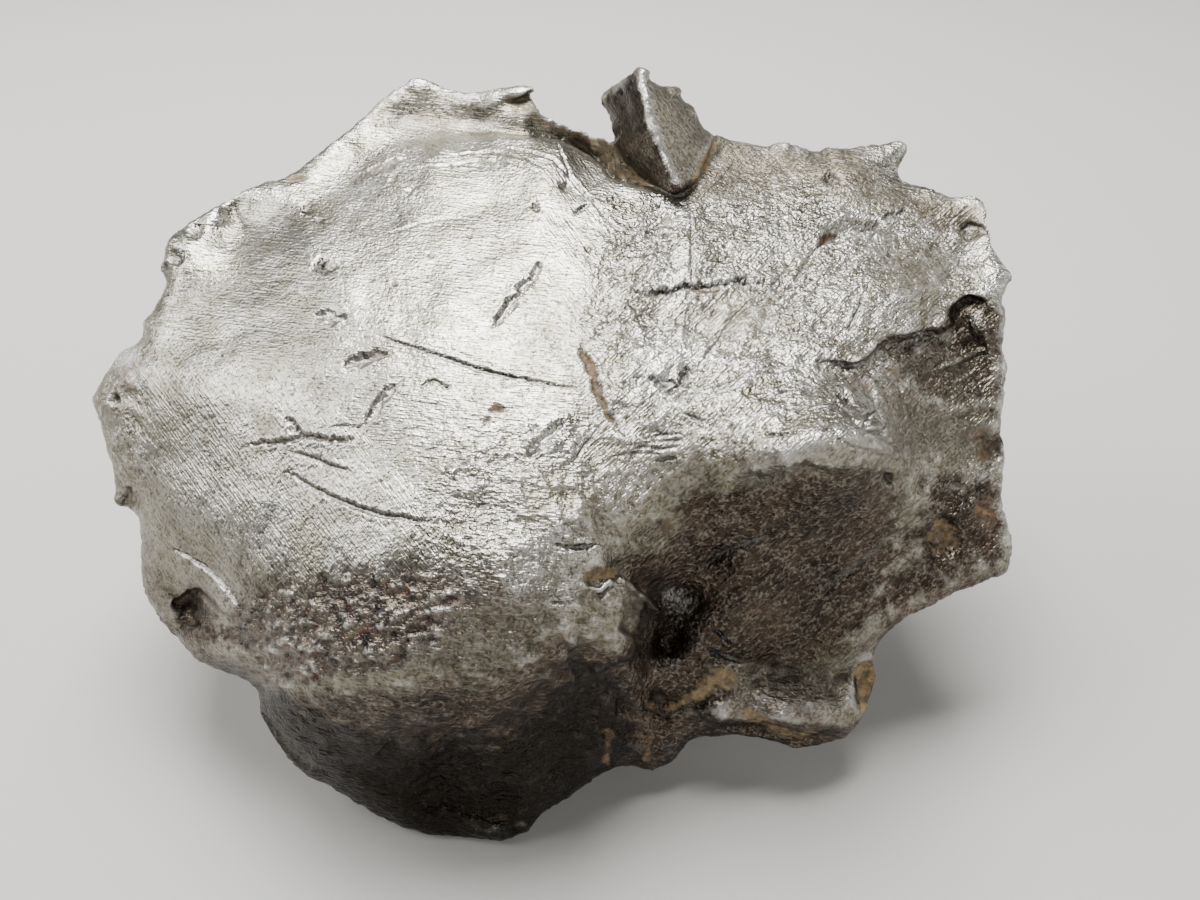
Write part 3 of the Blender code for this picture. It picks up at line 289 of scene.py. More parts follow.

# Stains: outline in pixels, how far the border fades in pixels, and what colours it. Dark in a stain is
# painted shade
STAINS = (
    dict(name="grey patch", outline=((253, 409), (262, 417), (270, 415), (279, 421), (277, 431),
         (262, 434), (255, 433)), fade=3, tarnish=0.75),
    dict(name="grey patch on the left", outline=((158, 390), (167, 378), (178, 377), (184, 390),
         (180, 404), (171, 412), (162, 402)), fade=5, tarnish=0.7),
    dict(name="square patch", outline=((579, 510), (596, 508), (611, 512), (612, 533), (604, 545),
         (590, 532), (578, 533)), fade=4, tarnish=0.85, patina_and_shade=0.35),
    dict(name="tarnished dome", outline=((520, 300), (590, 290), (622, 330), (628, 390), (598, 420),
         (560, 400), (520, 350)), fade=22, tarnish=0.35),
    dict(name="olive shoulder", outline=((190, 200), (270, 205), (300, 240), (270, 280), (210, 290),
         (180, 250)), fade=26, clay=0.08),
    dict(name="tarnish under the orange crack", outline=((700, 300), (750, 292), (790, 310), (760, 340),
         (705, 335)), fade=14, tarnish=0.75),
    dict(name="olive field on the wing", outline=((860, 240), (940, 240), (960, 280), (930, 310),
         (880, 300)), fade=22, tarnish=0.5, clay=0.12),
    dict(name="brown brow", outline=((716, 140), (790, 143), (858, 146), (880, 184), (980, 205),
         (985, 240), (930, 225), (860, 200), (800, 178), (735, 196), (690, 205)), fade=14, tarnish=1.0,
         patina_and_shade=0.45),
    dict(name="wall behind the dome", outline=((500, 88), (516, 118), (555, 134), (590, 154), (612, 176),
         (646, 190), (622, 156), (612, 130), (600, 120), (545, 104)), fade=5, bare=1.0, tarnish=1.0,
         patina_and_shade=0.45, clay=0.4),
    dict(name="ridge behind the dome", outline=((340, 84), (420, 84), (500, 92), (512, 122), (440, 132),
         (350, 116)), fade=10, bare=1.0, tarnish=0.85, patina_and_shade=0.2),
    dict(name="shelf behind the dome", outline=((400, 118), (470, 116), (530, 122), (520, 134),
         (450, 133), (404, 136)), fade=8, bare=1.0, tarnish=0.6),
    dict(name="rust in the hollow", outline=((604, 160), (622, 162), (650, 180), (668, 192), (640, 186),
         (610, 178)), fade=4, rust=0.4, clay=0.42),
    # Painted shade on the fin's left face, which looks away from the light, over its brown oxide
    dict(name="left face of the fin", outline=((612, 138), (607, 100), (612, 92), (636, 70), (646, 118),
         (660, 150), (674, 186), (640, 176), (618, 152)), fade=5, patina_and_shade=1.0, tarnish=1.0, dark=0.5),
    dict(name="right face of the fin", outline=((644, 82), (684, 86), (712, 134), (704, 170), (684, 188),
         (668, 160), (652, 120)), fade=6, tarnish=0.85, patina_and_shade=0.4, clay=0.12),
    dict(name="orange root of the fin", outline=((714, 136), (718, 146), (706, 170), (696, 184),
         (686, 190), (694, 172), (706, 150)), fade=3, rust=0.5, clay=0.6),
    dict(name="cove under the ledge", outline=((888, 350), (950, 335), (958, 302), (985, 300),
         (1004, 318), (1002, 420), (960, 400), (928, 400), (900, 372)), fade=12, patina_and_shade=0.72,
         tarnish=1.0),
    dict(name="grey foot of the cove", outline=((884, 372), (930, 396), (1004, 400), (1006, 470),
         (940, 474), (890, 450)), fade=18, patina_and_shade=0.5, tarnish=1.0),
    # Brown oxide in the valley, with painted shade under the knuckle
    dict(name="valley", outline=((700, 500), (790, 474), (880, 490), (905, 530), (900, 590), (850, 650),
         (760, 640), (706, 600), (670, 560)), fade=36, patina_and_shade=1.0, rust=0.12),
    dict(name="shadowed brow of the valley", outline=((706, 486), (780, 470), (850, 470), (890, 490),
         (900, 540), (800, 540), (720, 540)), fade=20, patina_and_shade=0.75),
    dict(name="lower right of the valley", outline=((850, 600), (905, 560), (930, 480), (1000, 470),
         (1008, 560), (940, 590), (880, 640)), fade=26, patina_and_shade=0.9, tarnish=0.8),
    dict(name="rusty valley floor", outline=((740, 590), (800, 600), (840, 640), (860, 670), (790, 668),
         (720, 640)), fade=18, rust=0.35, patina_and_shade=0.5),
    # Painted shade in the hollow under the overhang, with some oxide
    dict(name="hollow above the nose", outline=((604, 560), (618, 546), (640, 540), (664, 556),
         (690, 590), (700, 640), (690, 700), (660, 706), (640, 640), (640, 600)), fade=8, patina_and_shade=0.45,
         tarnish=1.0),
    # Painted shade on the belly, under the lump, over its oxide
    dict(name="belly", outline=((330, 736), (400, 728), (470, 730), (525, 715), (545, 680), (575, 652),
         (612, 672), (640, 700), (640, 800), (560, 830), (470, 870), (390, 880), (300, 840), (280, 780)),
         fade=30, patina_and_shade=1.0, dark=0.8),
    dict(name="flap", outline=((690, 660), (780, 650), (872, 640), (880, 700), (850, 740), (780, 738),
         (706, 720)), fade=10, tarnish=1.0, patina_and_shade=0.45),
    dict(name="brown round the hole", outline=((552, 668), (600, 660), (648, 640), (650, 600), (640, 560),
         (690, 540), (770, 570), (840, 620), (872, 650), (800, 664), (744, 668), (736, 700), (700, 728),
         (660, 780), (560, 780), (536, 710)), fade=14, patina_and_shade=0.86),
    dict(name="dull nose", outline=((596, 586), (640, 590), (660, 640), (640, 680), (580, 670),
         (560, 640), (580, 600)), fade=14, tarnish=1.0, patina_and_shade=0.35),
    dict(name="flap valley", outline=((700, 660), (780, 668), (860, 656), (862, 680), (790, 692),
         (712, 690)), fade=9, patina_and_shade=0.35),
    dict(name="tan deposit on the nose", outline=((585, 580), (592, 572), (604, 568), (611, 566),
         (619, 570), (615, 576), (600, 580)), fade=2, clay=1.0, rust=0.3),
    dict(name="tan deposit at the hole", outline=((682, 700), (694, 690), (708, 676), (722, 668),
         (737, 670), (742, 680), (734, 688), (716, 690), (702, 700), (688, 704), (668, 712), (666, 706)),
         fade=7, clay=0.72, rust=0.3),
    dict(name="tan crust under the flap", outline=((732, 708), (752, 710), (776, 722), (800, 732),
         (822, 726), (812, 738), (784, 738), (752, 724)), fade=4, clay=0.62),
    dict(name="rough bright knob", outline=((664, 592), (684, 590), (692, 602), (686, 616), (668, 612)),
         fade=5, bright=0.5),
    dict(name="brushed top of the flap", outline=((738, 676), (780, 690), (860, 684), (868, 700),
         (846, 722), (790, 716), (730, 712), (720, 694)), fade=8, bare=0.5),
    dict(name="brushed left lobe", outline=((80, 320), (160, 320), (170, 420), (150, 480), (200, 580),
         (180, 600), (110, 520), (84, 400)), fade=20, bare=0.6, tarnish=0.65),
    dict(name="brushed nose", outline=((520, 470), (700, 450), (706, 480), (640, 540), (600, 570),
         (650, 620), (630, 650), (560, 650), (520, 600)), fade=16, bare=0.55, tarnish=0.3),
    dict(name="brushed brow", outline=((716, 470), (760, 430), (880, 400), (900, 470), (860, 468),
         (780, 484), (724, 500)), fade=10, bare=0.9),
    dict(name="brushed right edge", outline=((900, 440), (1010, 420), (1012, 570), (940, 590),
         (900, 530)), fade=24, bare=0.2),
    dict(name="brushed shoulder of the bulge", outline=((230, 570), (480, 560), (560, 600), (540, 650),
         (400, 690), (250, 690)), fade=20, bare=0.5, patina_and_shade=0.5),
    dict(name="top of the cove", outline=((946, 304), (966, 294), (986, 296), (1002, 314), (1004, 356),
         (960, 352), (942, 328)), fade=8, patina_and_shade=0.8),
    # Painted shade on the flank of the bulge
    dict(name="grey flank of the bulge", outline=((420, 590), (500, 590), (570, 610), (560, 660),
         (470, 710), (300, 730), (240, 690), (330, 690), (420, 670), (470, 640)), fade=22, tarnish=0.9,
         patina_and_shade=0.56),
    dict(name="orange drip", outline=((646, 700), (653, 702), (656, 728), (650, 762), (643, 760),
         (649, 730)), fade=4, clay=0.5, rust=0.8),
    dict(name="second drip", outline=((606, 728), (613, 730), (608, 764), (601, 764)), fade=4, clay=0.3,
         rust=0.8),
    dict(name="rust above the hole", outline=((655, 520), (672, 518), (678, 534), (664, 540)), fade=5,
         rust=0.6),
    dict(name="golden end of the flap", outline=((856, 672), (864, 658), (874, 662), (878, 684),
         (872, 706), (862, 712), (858, 694)), fade=3, clay=0.8, rust=0.5),
    dict(name="rust under the ledge", outline=((846, 378), (856, 372), (870, 366), (872, 376), (862, 396),
         (852, 396)), fade=4, rust=0.5, clay=0.2, dark=0.5),
    dict(name="rust at the notch", outline=((966, 425), (988, 430), (996, 452), (984, 466), (970, 450)),
         fade=8, rust=0.6),
    dict(name="rust lower on the rim", outline=((972, 500), (990, 496), (998, 516), (984, 530),
         (974, 516)), fade=5, rust=0.7, clay=0.2),
    dict(name="brown patches on the lobe", outline=((118, 366), (134, 352), (148, 362), (140, 380),
         (128, 396), (116, 390)), fade=3, rust=0.5, tarnish=0.7),
    dict(name="bright metal on the lobe", outline=((112, 352), (132, 346), (146, 368), (140, 388),
         (124, 380)), fade=5, bright=0.8),
    dict(name="bright corner", outline=((990, 262), (1008, 264), (1012, 288), (996, 300), (984, 290)),
         fade=4, bright=0.7),
    dict(name="scoop under the left foot", outline=((172, 600), (190, 592), (204, 596), (216, 618),
         (222, 640), (206, 650), (184, 640), (174, 620)), fade=6, patina_and_shade=0.9, rust=0.35),
    dict(name="left foot", outline=((120, 500), (150, 540), (170, 590), (170, 640), (230, 700),
         (300, 790), (230, 780), (130, 640), (100, 560)), fade=14, patina_and_shade=0.58, tarnish=0.6),
    # Painted shade low on the foot, over its oxide
    dict(name="foot below the crust", outline=((220, 668), (262, 682), (300, 700), (345, 724), (420, 742),
         (440, 880), (290, 860), (200, 770)), fade=18, patina_and_shade=1.0, dark=0.85),
    # Oxide and painted shade below the crust
    dict(name="bulge below the crust", outline=((300, 700), (400, 690), (500, 670), (560, 640),
         (600, 680), (560, 730), (440, 750), (320, 750)), fade=24, patina_and_shade=0.85, tarnish=0.6),
    # Painted glints on the brow of the knuckle
    dict(name="bright brow of the knuckle", outline=((745, 470), (790, 446), (830, 428), (880, 430),
         (890, 450), (850, 446), (800, 462), (758, 482)), fade=14, bright=0.35),
    dict(name="bright knuckle over the saddle", outline=((640, 335), (690, 335), (700, 360), (660, 378),
         (634, 360)), fade=14, bright=0.5),
)

# The flaked crust: outline and border in pixels, height in millimetres, the way that its leaves lie and how
# much longer than wide they are, and the size of its leaves, chips and crumples in millimetres
CRUST = dict(
    outline=((219, 633), (230, 612), (242, 600), (262, 592), (283, 589), (304, 594), (324, 582), (350, 575),
             (375, 571), (402, 569), (428, 570), (452, 574), (465, 580), (474, 598), (470, 614), (441, 643),
             (408, 655), (375, 674), (350, 678), (309, 681), (278, 679), (248, 655)),
    fade=8,
    depth=0.9,
    angle=8,
    stretch=1.7,
    leaf=3.2,
    chip=1.5,
    crumple=2.4,
)


# The lump's shape


def seen(places):
    """Where the camera sees each place, in pixels of the picture."""
    ray = places - EYE
    depth = ray @ FORWARD
    across = PICTURE[0] / 2 + FOCAL * (ray @ RIGHT) / depth
    down = PICTURE[1] / 2 - FOCAL * (ray @ UP) / depth
    return np.column_stack((across, down))


def grain(places, size, octaves=1):
    """Soft noise from about -1 to 1, with lumps of a size in the places' own units."""
    if octaves == 1:
        return np.array([noise.noise(Vector(place)) for place in places / size])
    return np.array([noise.fractal(Vector(place), 0.8, 2.1, octaves) for place in places / size])


def ramp(values, low, high):
    """0 up to low, 1 from high on, and a smooth rise between."""
    share = np.clip((values - low) / (high - low), 0, 1)
    return share * share * (3 - 2 * share)


def along(flat, line):
    """Where each point's nearest place on the line is, from 0 to 1, how far off it is, and which way."""
    line = np.array(line, float)
    start, run = line[:-1], np.diff(line, axis=0)
    to_point = flat[:, None] - start
    share = np.clip((to_point * run).sum(2) / (run * run).sum(1), 0, 1)
    away = to_point - share[..., None] * run
    gap = np.linalg.norm(away, axis=2)
    nearest = gap.argmin(axis=1)
    rows = np.arange(len(flat))
    return (nearest + share[rows, nearest]) / len(run), gap[rows, nearest], away[rows, nearest]


def within(flat, outline):
    """How far inside the outline each point is, in pixels, and under zero outside it."""
    closed = np.array(tuple(outline) + (outline[0],), float)
    x, y = flat[:, :1], flat[:, 1:]
    (x1, y1), (x2, y2) = closed[:-1].T, closed[1:].T
    spans = (y1 > y) != (y2 > y)
    crossing = spans & (x < (x2 - x1) * (y - y1) / np.where(y2 == y1, 1.0, y2 - y1) + x1)
    inside = crossing.sum(axis=1) % 2 == 1
    return np.where(inside, 1, -1) * along(flat, closed)[1]


def near(flat, points, reach):
    """Which points lie in the box round some others, widened by a reach."""
    points = np.array(points, float)
    low, high = points.min(axis=0) - reach, points.max(axis=0) + reach
    return np.flatnonzero(((flat > low) & (flat < high)).all(axis=1))


def sides_of(faces):
    """The edges, each once, and which three every triangle has."""
    pairs = np.sort(np.stack((faces, np.roll(faces, -1, axis=1)), axis=2), axis=2).reshape(-1, 2)
    keys, which = np.unique(pairs[:, 0] * (faces.max() + 1) + pairs[:, 1], return_inverse=True)
    return np.column_stack(np.divmod(keys, faces.max() + 1)), which.reshape(-1, 3)


def normals_of(places, faces):
    """Outward directions at the corners, each triangle counting by its area."""
    a, b, c = (places[faces[:, i]] for i in range(3))
    across = np.cross(b - a, c - a)
    total = np.column_stack(
        [sum(np.bincount(faces[:, i], across[:, axis], len(places)) for i in range(3)) for axis in range(3)]
    )
    return total / np.maximum(np.linalg.norm(total, axis=1), 1e-12)[:, None]


def averaged(values, edges, rounds):
    """The values after each has taken the mean with its neighbours a number of times."""
    a, b = edges.T
    count = len(values)
    degree = np.bincount(a, minlength=count) + np.bincount(b, minlength=count) + 1
    for _ in range(rounds):
        total = [np.bincount(a, part[b], count) + np.bincount(b, part[a], count) for part in values.T]
        values = (values + np.column_stack(total)) / degree[:, None]
    return values


def merged_copy(name):
    """The corners in millimetres and the triangles of a solid, with its doubled corners merged."""
    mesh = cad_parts[name].data
    mesh.calc_loop_triangles()
    corners = np.empty(len(mesh.vertices) * 3)
    mesh.vertices.foreach_get("co", corners)
    triangles = np.empty(len(mesh.loop_triangles) * 3, np.int64)
    mesh.loop_triangles.foreach_get("vertices", triangles)
    places, index = np.unique(np.round(corners.reshape(-1, 3) / MM, 3), axis=0, return_inverse=True)
    faces = index.reshape(-1)[triangles.reshape(-1, 3)]
    whole = (faces[:, 0] != faces[:, 1]) & (faces[:, 1] != faces[:, 2]) & (faces[:, 2] != faces[:, 0])
    return places, faces[whole]


def split_long(places, faces, extra, wanted):
    """Halves the edges that are longer than wanted, the worst ones first until there are enough triangles.

    Each new middle bulges out to the curve of the skin.
    """
    normals = normals_of(places, faces)
    edges, which = sides_of(faces)
    a, b = edges.T
    span = places[b] - places[a]
    excess = np.linalg.norm(span, axis=1) / np.minimum(wanted[a], wanted[b])
    room = max((MOST_TRIANGLES - len(faces)) // 2, 0)
    long = np.zeros(len(edges), bool)
    long[np.argsort(-excess)[:room]] = True
    long &= excess > 1
    a, b, span = a[long], b[long], span[long]
    lift_a = (span * normals[a]).sum(axis=1)[:, None] * normals[a]
    lift_b = (span * normals[b]).sum(axis=1)[:, None] * normals[b]
    middles = (places[a] + places[b]) / 2 - (lift_a - lift_b) / 8
    middle_of = np.full(len(edges), -1)
    middle_of[long] = len(places) + np.arange(long.sum())
    places = np.vstack((places, middles))
    extra = np.vstack((extra, (extra[a] + extra[b]) / 2))

    # A triangle stays whole, or falls into two, three or four, by how many of its edges are halved
    split = middle_of[which]
    count = (split >= 0).sum(axis=1)
    parts = [faces[count == 0]]
    for turn in range(3):
        corner, middle = np.roll(faces, -turn, axis=1), np.roll(split, -turn, axis=1)
        one = (count == 1) & (middle[:, 0] >= 0)
        (c0, c1, c2), m0 = corner[one].T, middle[one, 0]
        parts += [np.column_stack((c0, m0, c2)), np.column_stack((m0, c1, c2))]
        two = (count == 2) & (middle[:, 2] < 0)
        (c0, c1, c2), (m0, m1) = corner[two].T, middle[two, :2].T
        parts.append(np.column_stack((m0, c1, m1)))
        one_way = np.linalg.norm(places[c0] - places[m1], axis=1)
        other_way = np.linalg.norm(places[m0] - places[c2], axis=1)
        last = np.where(one_way < other_way, m1, c2)
        first = np.where(one_way < other_way, c0, m0)
        parts += [np.column_stack((c0, m0, last)), np.column_stack((first, m1, c2))]
    c0, c1, c2 = faces[count == 3].T
    m0, m1, m2 = split[count == 3].T
    for trio in ((c0, m0, m2), (m0, c1, m1), (m2, m1, c2), (m0, m1, m2)):
        parts.append(np.column_stack(trio))
    return places, np.vstack(parts), extra, int(long.sum())


def wanted_edges(places, faces):
    """How long the edges round each corner may be: shortest along the marks, longest on the hidden side."""
    flat = seen(places)
    facing = (normals_of(places, faces) * (EYE - places)).sum(axis=1) > 0
    wanted = np.where(facing, FRONT_EDGE, BACK_EDGE)
    for mark in GOUGES:
        rows = near(flat, mark["line"], mark["width"])
        off = along(flat[rows], mark["line"])[1]
        close = rows[(off < mark["width"] * 0.5 + 3) & facing[rows]]
        wanted[close] = MARK_EDGE
    for mark in PITS:
        rows = near(flat, [mark["at"]], mark["radius"] + 2)
        close = rows[facing[rows]]
        wanted[close] = np.minimum(wanted[close], max(MARK_EDGE, PIT_EDGE * mark["radius"]))
    rows = near(flat, CRUST["outline"], 2)
    close = rows[(within(flat[rows], CRUST["outline"]) > -CRUST["fade"]) & facing[rows]]
    wanted[close] = np.minimum(wanted[close], CRUST_EDGE)
    return wanted


def refined_skin():
    """The solid's skin in fine triangles, with how hollow and how sharp it is at a broad scale."""
    places, faces = merged_copy(NODE)
    edges, _ = sides_of(faces)
    normals = normals_of(places, faces)
    hollow = ((averaged(places, edges, BROAD_ROUNDS) - places) * normals).sum(axis=1)
    sharp = -((averaged(places, edges, NARROW_ROUNDS) - places) * normals).sum(axis=1)
    extra = averaged(np.column_stack((hollow, sharp)), edges, 1)
    for number in range(HALVINGS):
        places, faces, extra, halved = split_long(places, faces, extra, wanted_edges(places, faces))
        if number in SOFTENED_AFTER:
            places = relaxed(places, faces)
        if not halved:
            break
    return relaxed(places, faces), faces, extra


def relaxed(places, faces):
    """The skin with its facets softened, and then given back most of what the softening shrank."""
    edges, _ = sides_of(faces)
    softened = averaged(places, edges, 1)
    return softened + GIVEN_BACK * (softened - averaged(softened, edges, 1))


# Marks and masks

# What a mark or a stain can hold. All but the last are masks of the finish, though dark is painted shade,
# bright is partly painted highlight and patina and tarnish are partly painted shade: the last keeps the
# brown oxide of hollows and of the underside away.
HOLDS = ("dark", "rust", "clay", "bright", "tarnish", "patina_and_shade", "crust", "bare")
BRIGHT = HOLDS.index("bright")

# Broad textures of the skin: outline in pixels, fade in pixels, lump size and height in millimetres, and
# how much longer than wide the lumps are along a direction in degrees from level, rising to the right
TEXTURES = (
    dict(name="dimpled saddle", outline=((600, 190), (700, 180), (720, 300), (700, 400), (640, 480),
         (600, 420), (640, 330)), fade=26, size=2.3, height=0.15, stretch=1.0, angle=0),
    dict(name="wing", outline=((700, 200), (985, 230), (1000, 300), (930, 340), (820, 370), (760, 440),
         (690, 470), (700, 330)), fade=20, size=1.7, height=0.13, stretch=2.2, angle=42),
    dict(name="folds of the wing", outline=((640, 200), (985, 230), (1000, 300), (930, 340), (880, 400),
         (760, 440), (640, 470), (600, 330)), fade=26, size=4.2, height=0.42, stretch=2.0, angle=38),
    dict(name="folds below the dome", outline=((440, 440), (620, 400), (700, 470), (690, 540), (560, 600),
         (450, 560)), fade=26, size=3.4, height=0.3, stretch=1.5, angle=-20),
    dict(name="bumpy brow of the knuckle", outline=((720, 490), (745, 466), (790, 446), (850, 420),
         (896, 440), (890, 480), (830, 476), (770, 492)), fade=14, size=1.1, height=0.24, stretch=1.6,
         angle=35),
    dict(name="dented nose top", outline=((540, 470), (640, 460), (720, 470), (700, 520), (620, 545),
         (540, 540)), fade=18, size=2.4, height=0.22, stretch=1.6, angle=-20),
    dict(name="combed valley", outline=((690, 500), (780, 470), (900, 490), (930, 560), (860, 640),
         (720, 640)), fade=16, size=1.5, height=0.2, stretch=4.0, angle=32),
    dict(name="dimpled right edge", outline=((890, 400), (1005, 330), (1010, 560), (900, 620),
         (880, 520)), fade=16, size=2.0, height=0.2, stretch=1.4, angle=50),
    dict(name="cove", outline=((885, 352), (950, 335), (960, 300), (1005, 310), (1000, 400), (900, 400)),
         fade=8, size=1.8, height=0.12, stretch=3.0, angle=32),
    dict(name="wrinkles under the crust", outline=((230, 670), (380, 690), (470, 620), (590, 600),
         (600, 670), (540, 700), (300, 730)), fade=16, size=2.2, height=0.4, stretch=1.8, angle=-12),
    dict(name="belly", outline=((300, 700), (540, 690), (620, 670), (660, 760), (470, 850), (240, 800)),
         fade=16, size=3.6, height=0.4, stretch=1.5, angle=10),
    dict(name="nose and hole", outline=((560, 570), (640, 545), (700, 600), (720, 700), (640, 760),
         (560, 700)), fade=10, size=2.2, height=0.36, stretch=1.6, angle=-50),
    dict(name="flap", outline=((700, 640), (880, 640), (880, 720), (800, 760), (690, 740)), fade=10,
         size=1.8, height=0.22, stretch=1.8, angle=20),
    dict(name="left edge", outline=((80, 340), (150, 330), (150, 520), (200, 600), (240, 700), (300, 790),
         (120, 640), (90, 500)), fade=10, size=2.2, height=0.3, stretch=1.4, angle=-60),
    dict(name="fin", outline=((590, 90), (630, 60), (690, 80), (720, 136), (690, 190), (650, 180),
         (610, 150)), fade=3, size=1.8, height=0.16, stretch=2.0, angle=70),
)


# Which way the brush went, and where the metal is dimpled: outline and fade in pixels
STROKES = (
    dict(name="lower left of the dome", way="falling", amount=1.0, fade=30, outline=((90, 360),
         (220, 330), (300, 400), (430, 480), (470, 560), (380, 600), (200, 600), (110, 520))),
    dict(name="fin", way="falling", amount=1.0, fade=4, outline=((596, 90), (640, 60), (700, 80),
         (720, 134), (690, 186), (640, 180), (610, 140))),
    dict(name="right end of the dome", way="falling", amount=0.7, fade=24, outline=((500, 140),
         (590, 160), (640, 240), (600, 330), (540, 250))),
    dict(name="saddle and wing", way="rising", amount=1.0, fade=34, outline=((600, 230), (760, 150),
         (1000, 200), (1010, 560), (860, 680), (700, 640), (600, 480))),
    dict(name="dimples of the saddle", way="dimpled", amount=1.0, fade=26, outline=((612, 190),
         (700, 172), (900, 176), (1000, 230), (1008, 420), (900, 440), (780, 460), (700, 480), (620, 420),
         (590, 330))),
    dict(name="dimples over the nose", way="dimpled", amount=0.8, fade=26, outline=((430, 440),
         (620, 420), (720, 470), (690, 560), (600, 590), (480, 600), (420, 540))),
    dict(name="dimples of the bulge", way="dimpled", amount=0.95, fade=26, outline=((260, 640),
         (480, 600), (590, 600), (600, 680), (440, 760), (280, 740))),
    dict(name="dimples of the belly", way="dimpled", amount=0.95, fade=20, outline=((220, 700),
         (540, 700), (640, 660), (700, 760), (470, 850), (240, 810))),
    dict(name="dimples of the valley", way="dimpled", amount=1.0, fade=20, outline=((690, 480),
         (880, 450), (1005, 440), (1010, 570), (880, 700), (700, 760), (640, 640))),
    dict(name="dimples of the left lobe", way="dimpled", amount=0.9, fade=14, outline=((80, 340),
         (150, 320), (150, 430), (120, 560), (240, 700), (200, 760), (90, 600))),
    dict(name="dimples of the back ridge", way="dimpled", amount=0.5, fade=14, outline=((330, 80),
         (420, 84), (500, 90), (520, 120), (400, 120), (340, 110))),
)


def turned(flat, angle, stretch):
    """Places turned so that lumps of noise lie along a direction, and squeezed to make them long there."""
    angle = math.radians(angle)
    lengthwise = flat[:, 0] * math.cos(angle) - flat[:, 1] * math.sin(angle)
    across = flat[:, 0] * math.sin(angle) + flat[:, 1] * math.cos(angle)
    return np.column_stack((lengthwise / stretch, across, np.zeros(len(flat))))


def marked(places, flat, facing, holds):
    """How far each corner is pressed in by the gouges and pits. Their colours are written into holds.

    Noise is read at shifted places, here and below, so that no two noises are alike.
    """
    press = np.zeros(len(places))
    rough = grain(places, 0.8, 2)
    sway = np.column_stack((grain(places + 3.0, 1.5, 3), grain(places + 17.0, 1.5, 3)))
    broken = ramp(grain(places + 41.0, 1.1, 3), -0.45, 0.05)
    shown = np.flatnonzero(facing)
    for mark in GOUGES:
        # The sides sway as they are ragged, and the ends taper
        ragged = mark.get("ragged", 0.15)
        rows = shown[near(flat[shown], mark["line"], 1.6 * mark["width"])]
        where, off, away = along(flat[rows] + 0.9 * ragged * mark["width"] * sway[rows], mark["line"])
        taper = np.clip(4 * where * (1 - where), 0.06, 1) ** 0.5
        half = np.maximum(mark["width"] / 2 * taper, 0.3)
        share = np.clip(1 - (off / half) ** 2, 0, 1)
        press[rows] += mark["depth"] * share * (1 + 0.8 * ragged * rough[rows])
        # The metal that was pushed up stands just outside the sides
        lip = np.exp(-(((off - 1.2 * half) / (0.4 * half + 0.6)) ** 2)) * taper
        press[rows] -= mark.get("lip", 0) * lip * (0.6 + 0.6 * rough[rows])
        # The wall that looks away from the light holds the most colour, as painted shade, and the other one
        # gets a painted highlight
        shaded = 0.5 - 0.5 * np.clip(away @ LIT / half, -1, 1)
        floor = mark.get("core", 0) * ramp(share, 0.3, 0.85)
        colour = np.clip(2.4 * share, 0, 1) * (0.5 + 0.5 * shaded) * (1 - floor)
        write_holds(mark, rows, colour * (1 - 0.6 * ragged * (1 - broken[rows])), holds)
        core_and_painted_highlight = np.maximum(0.7 * floor, 0.5 * share * (1 - shaded) * (mark["depth"] > 0))
        holds[rows, BRIGHT] = np.maximum(holds[rows, BRIGHT], core_and_painted_highlight)
    for mark in PITS:
        # A pit with a core has a clean rise in its middle
        ragged = mark.get("ragged", 0.2)
        rows = shown[near(flat[shown], [mark["at"]], 1.8 * mark["radius"])]
        away = flat[rows] + ragged * mark["radius"] * sway[rows] - mark["at"]
        off = np.linalg.norm(away, axis=1) / mark["radius"]
        share = np.clip(1 - off**2, 0, 1)
        core = mark.get("core", 0) * np.clip(1 - (off / 0.5) ** 2, 0, 1)
        press[rows] += mark["depth"] * (share ** mark.get("soft", 1.0) - core) * (1 + ragged * rough[rows])
        # Painted shade: the pit's colour is strongest on the wall that looks away from the light
        shaded = 0.5 - 0.5 * np.clip(away @ LIT / mark["radius"], -1, 1)
        colour = np.clip(2.0 * share - 1.8 * core, 0, 1) * (0.4 + 0.6 * shaded)
        write_holds(mark, rows, colour * (1 - 0.5 * ragged * (1 - broken[rows])), holds)
    return press


def write_holds(mark, rows, share, holds):
    """Raises each colour that the mark holds to its amount there."""
    for column, name in enumerate(HOLDS):
        if name in mark:
            holds[rows, column] = np.maximum(holds[rows, column], mark[name] * share)


def stained(places, flat, facing, holds):
    """Writes the stains' colours into holds, with borders that a coarse noise makes uneven."""
    uneven = grain(places, 2.6, 3)
    shown = np.flatnonzero(facing)
    for stain in STAINS:
        fade = stain["fade"]
        rows = shown[near(flat[shown], stain["outline"], 2 * fade)]
        depth = within(flat[rows], stain["outline"]) + 1.1 * fade * uneven[rows]
        write_holds(stain, rows, ramp(depth, -fade, fade), holds)


def textured(places, flat, facing, sharp):
    """How far broad dents and fine hackles lift each corner."""
    # Sharp edges are thin, so they are lifted less by the broad forms, and get fine teeth instead. The side
    # that the camera doesn't see is more rugged.
    thick = 1 - 0.75 * ramp(sharp, 0.3, 1.0)
    lift = 0.16 * grain(places, 7.0, 2) + 0.07 * grain(places, 1.3, 2)
    rugged = np.where(facing, 0.0, 1.0) * thick
    lift += rugged * (0.45 * grain(places + 31.0, 5.5, 3) + 0.2 * grain(places + 57.0, 2.4, 2))
    lift += ramp(sharp, 0.5, 1.8) * 0.22 * grain(places + 11.0, 1.2, 3)
    for texture in TEXTURES:
        rows, share = share_of(texture, flat, facing)
        lumps = turned(flat[rows] * PIXEL, texture["angle"], texture["stretch"])
        folds = np.abs(grain(lumps + 7.0, 1.6 * texture["size"], 2))
        lumpy = grain(lumps, texture["size"], 2) - 1.5 * folds
        coarse = grain(lumps + 13.0, 3.5 * texture["size"], 2)
        lift[rows] += texture["height"] * share * thick[rows] * (lumpy + 1.6 * coarse)
    return lift


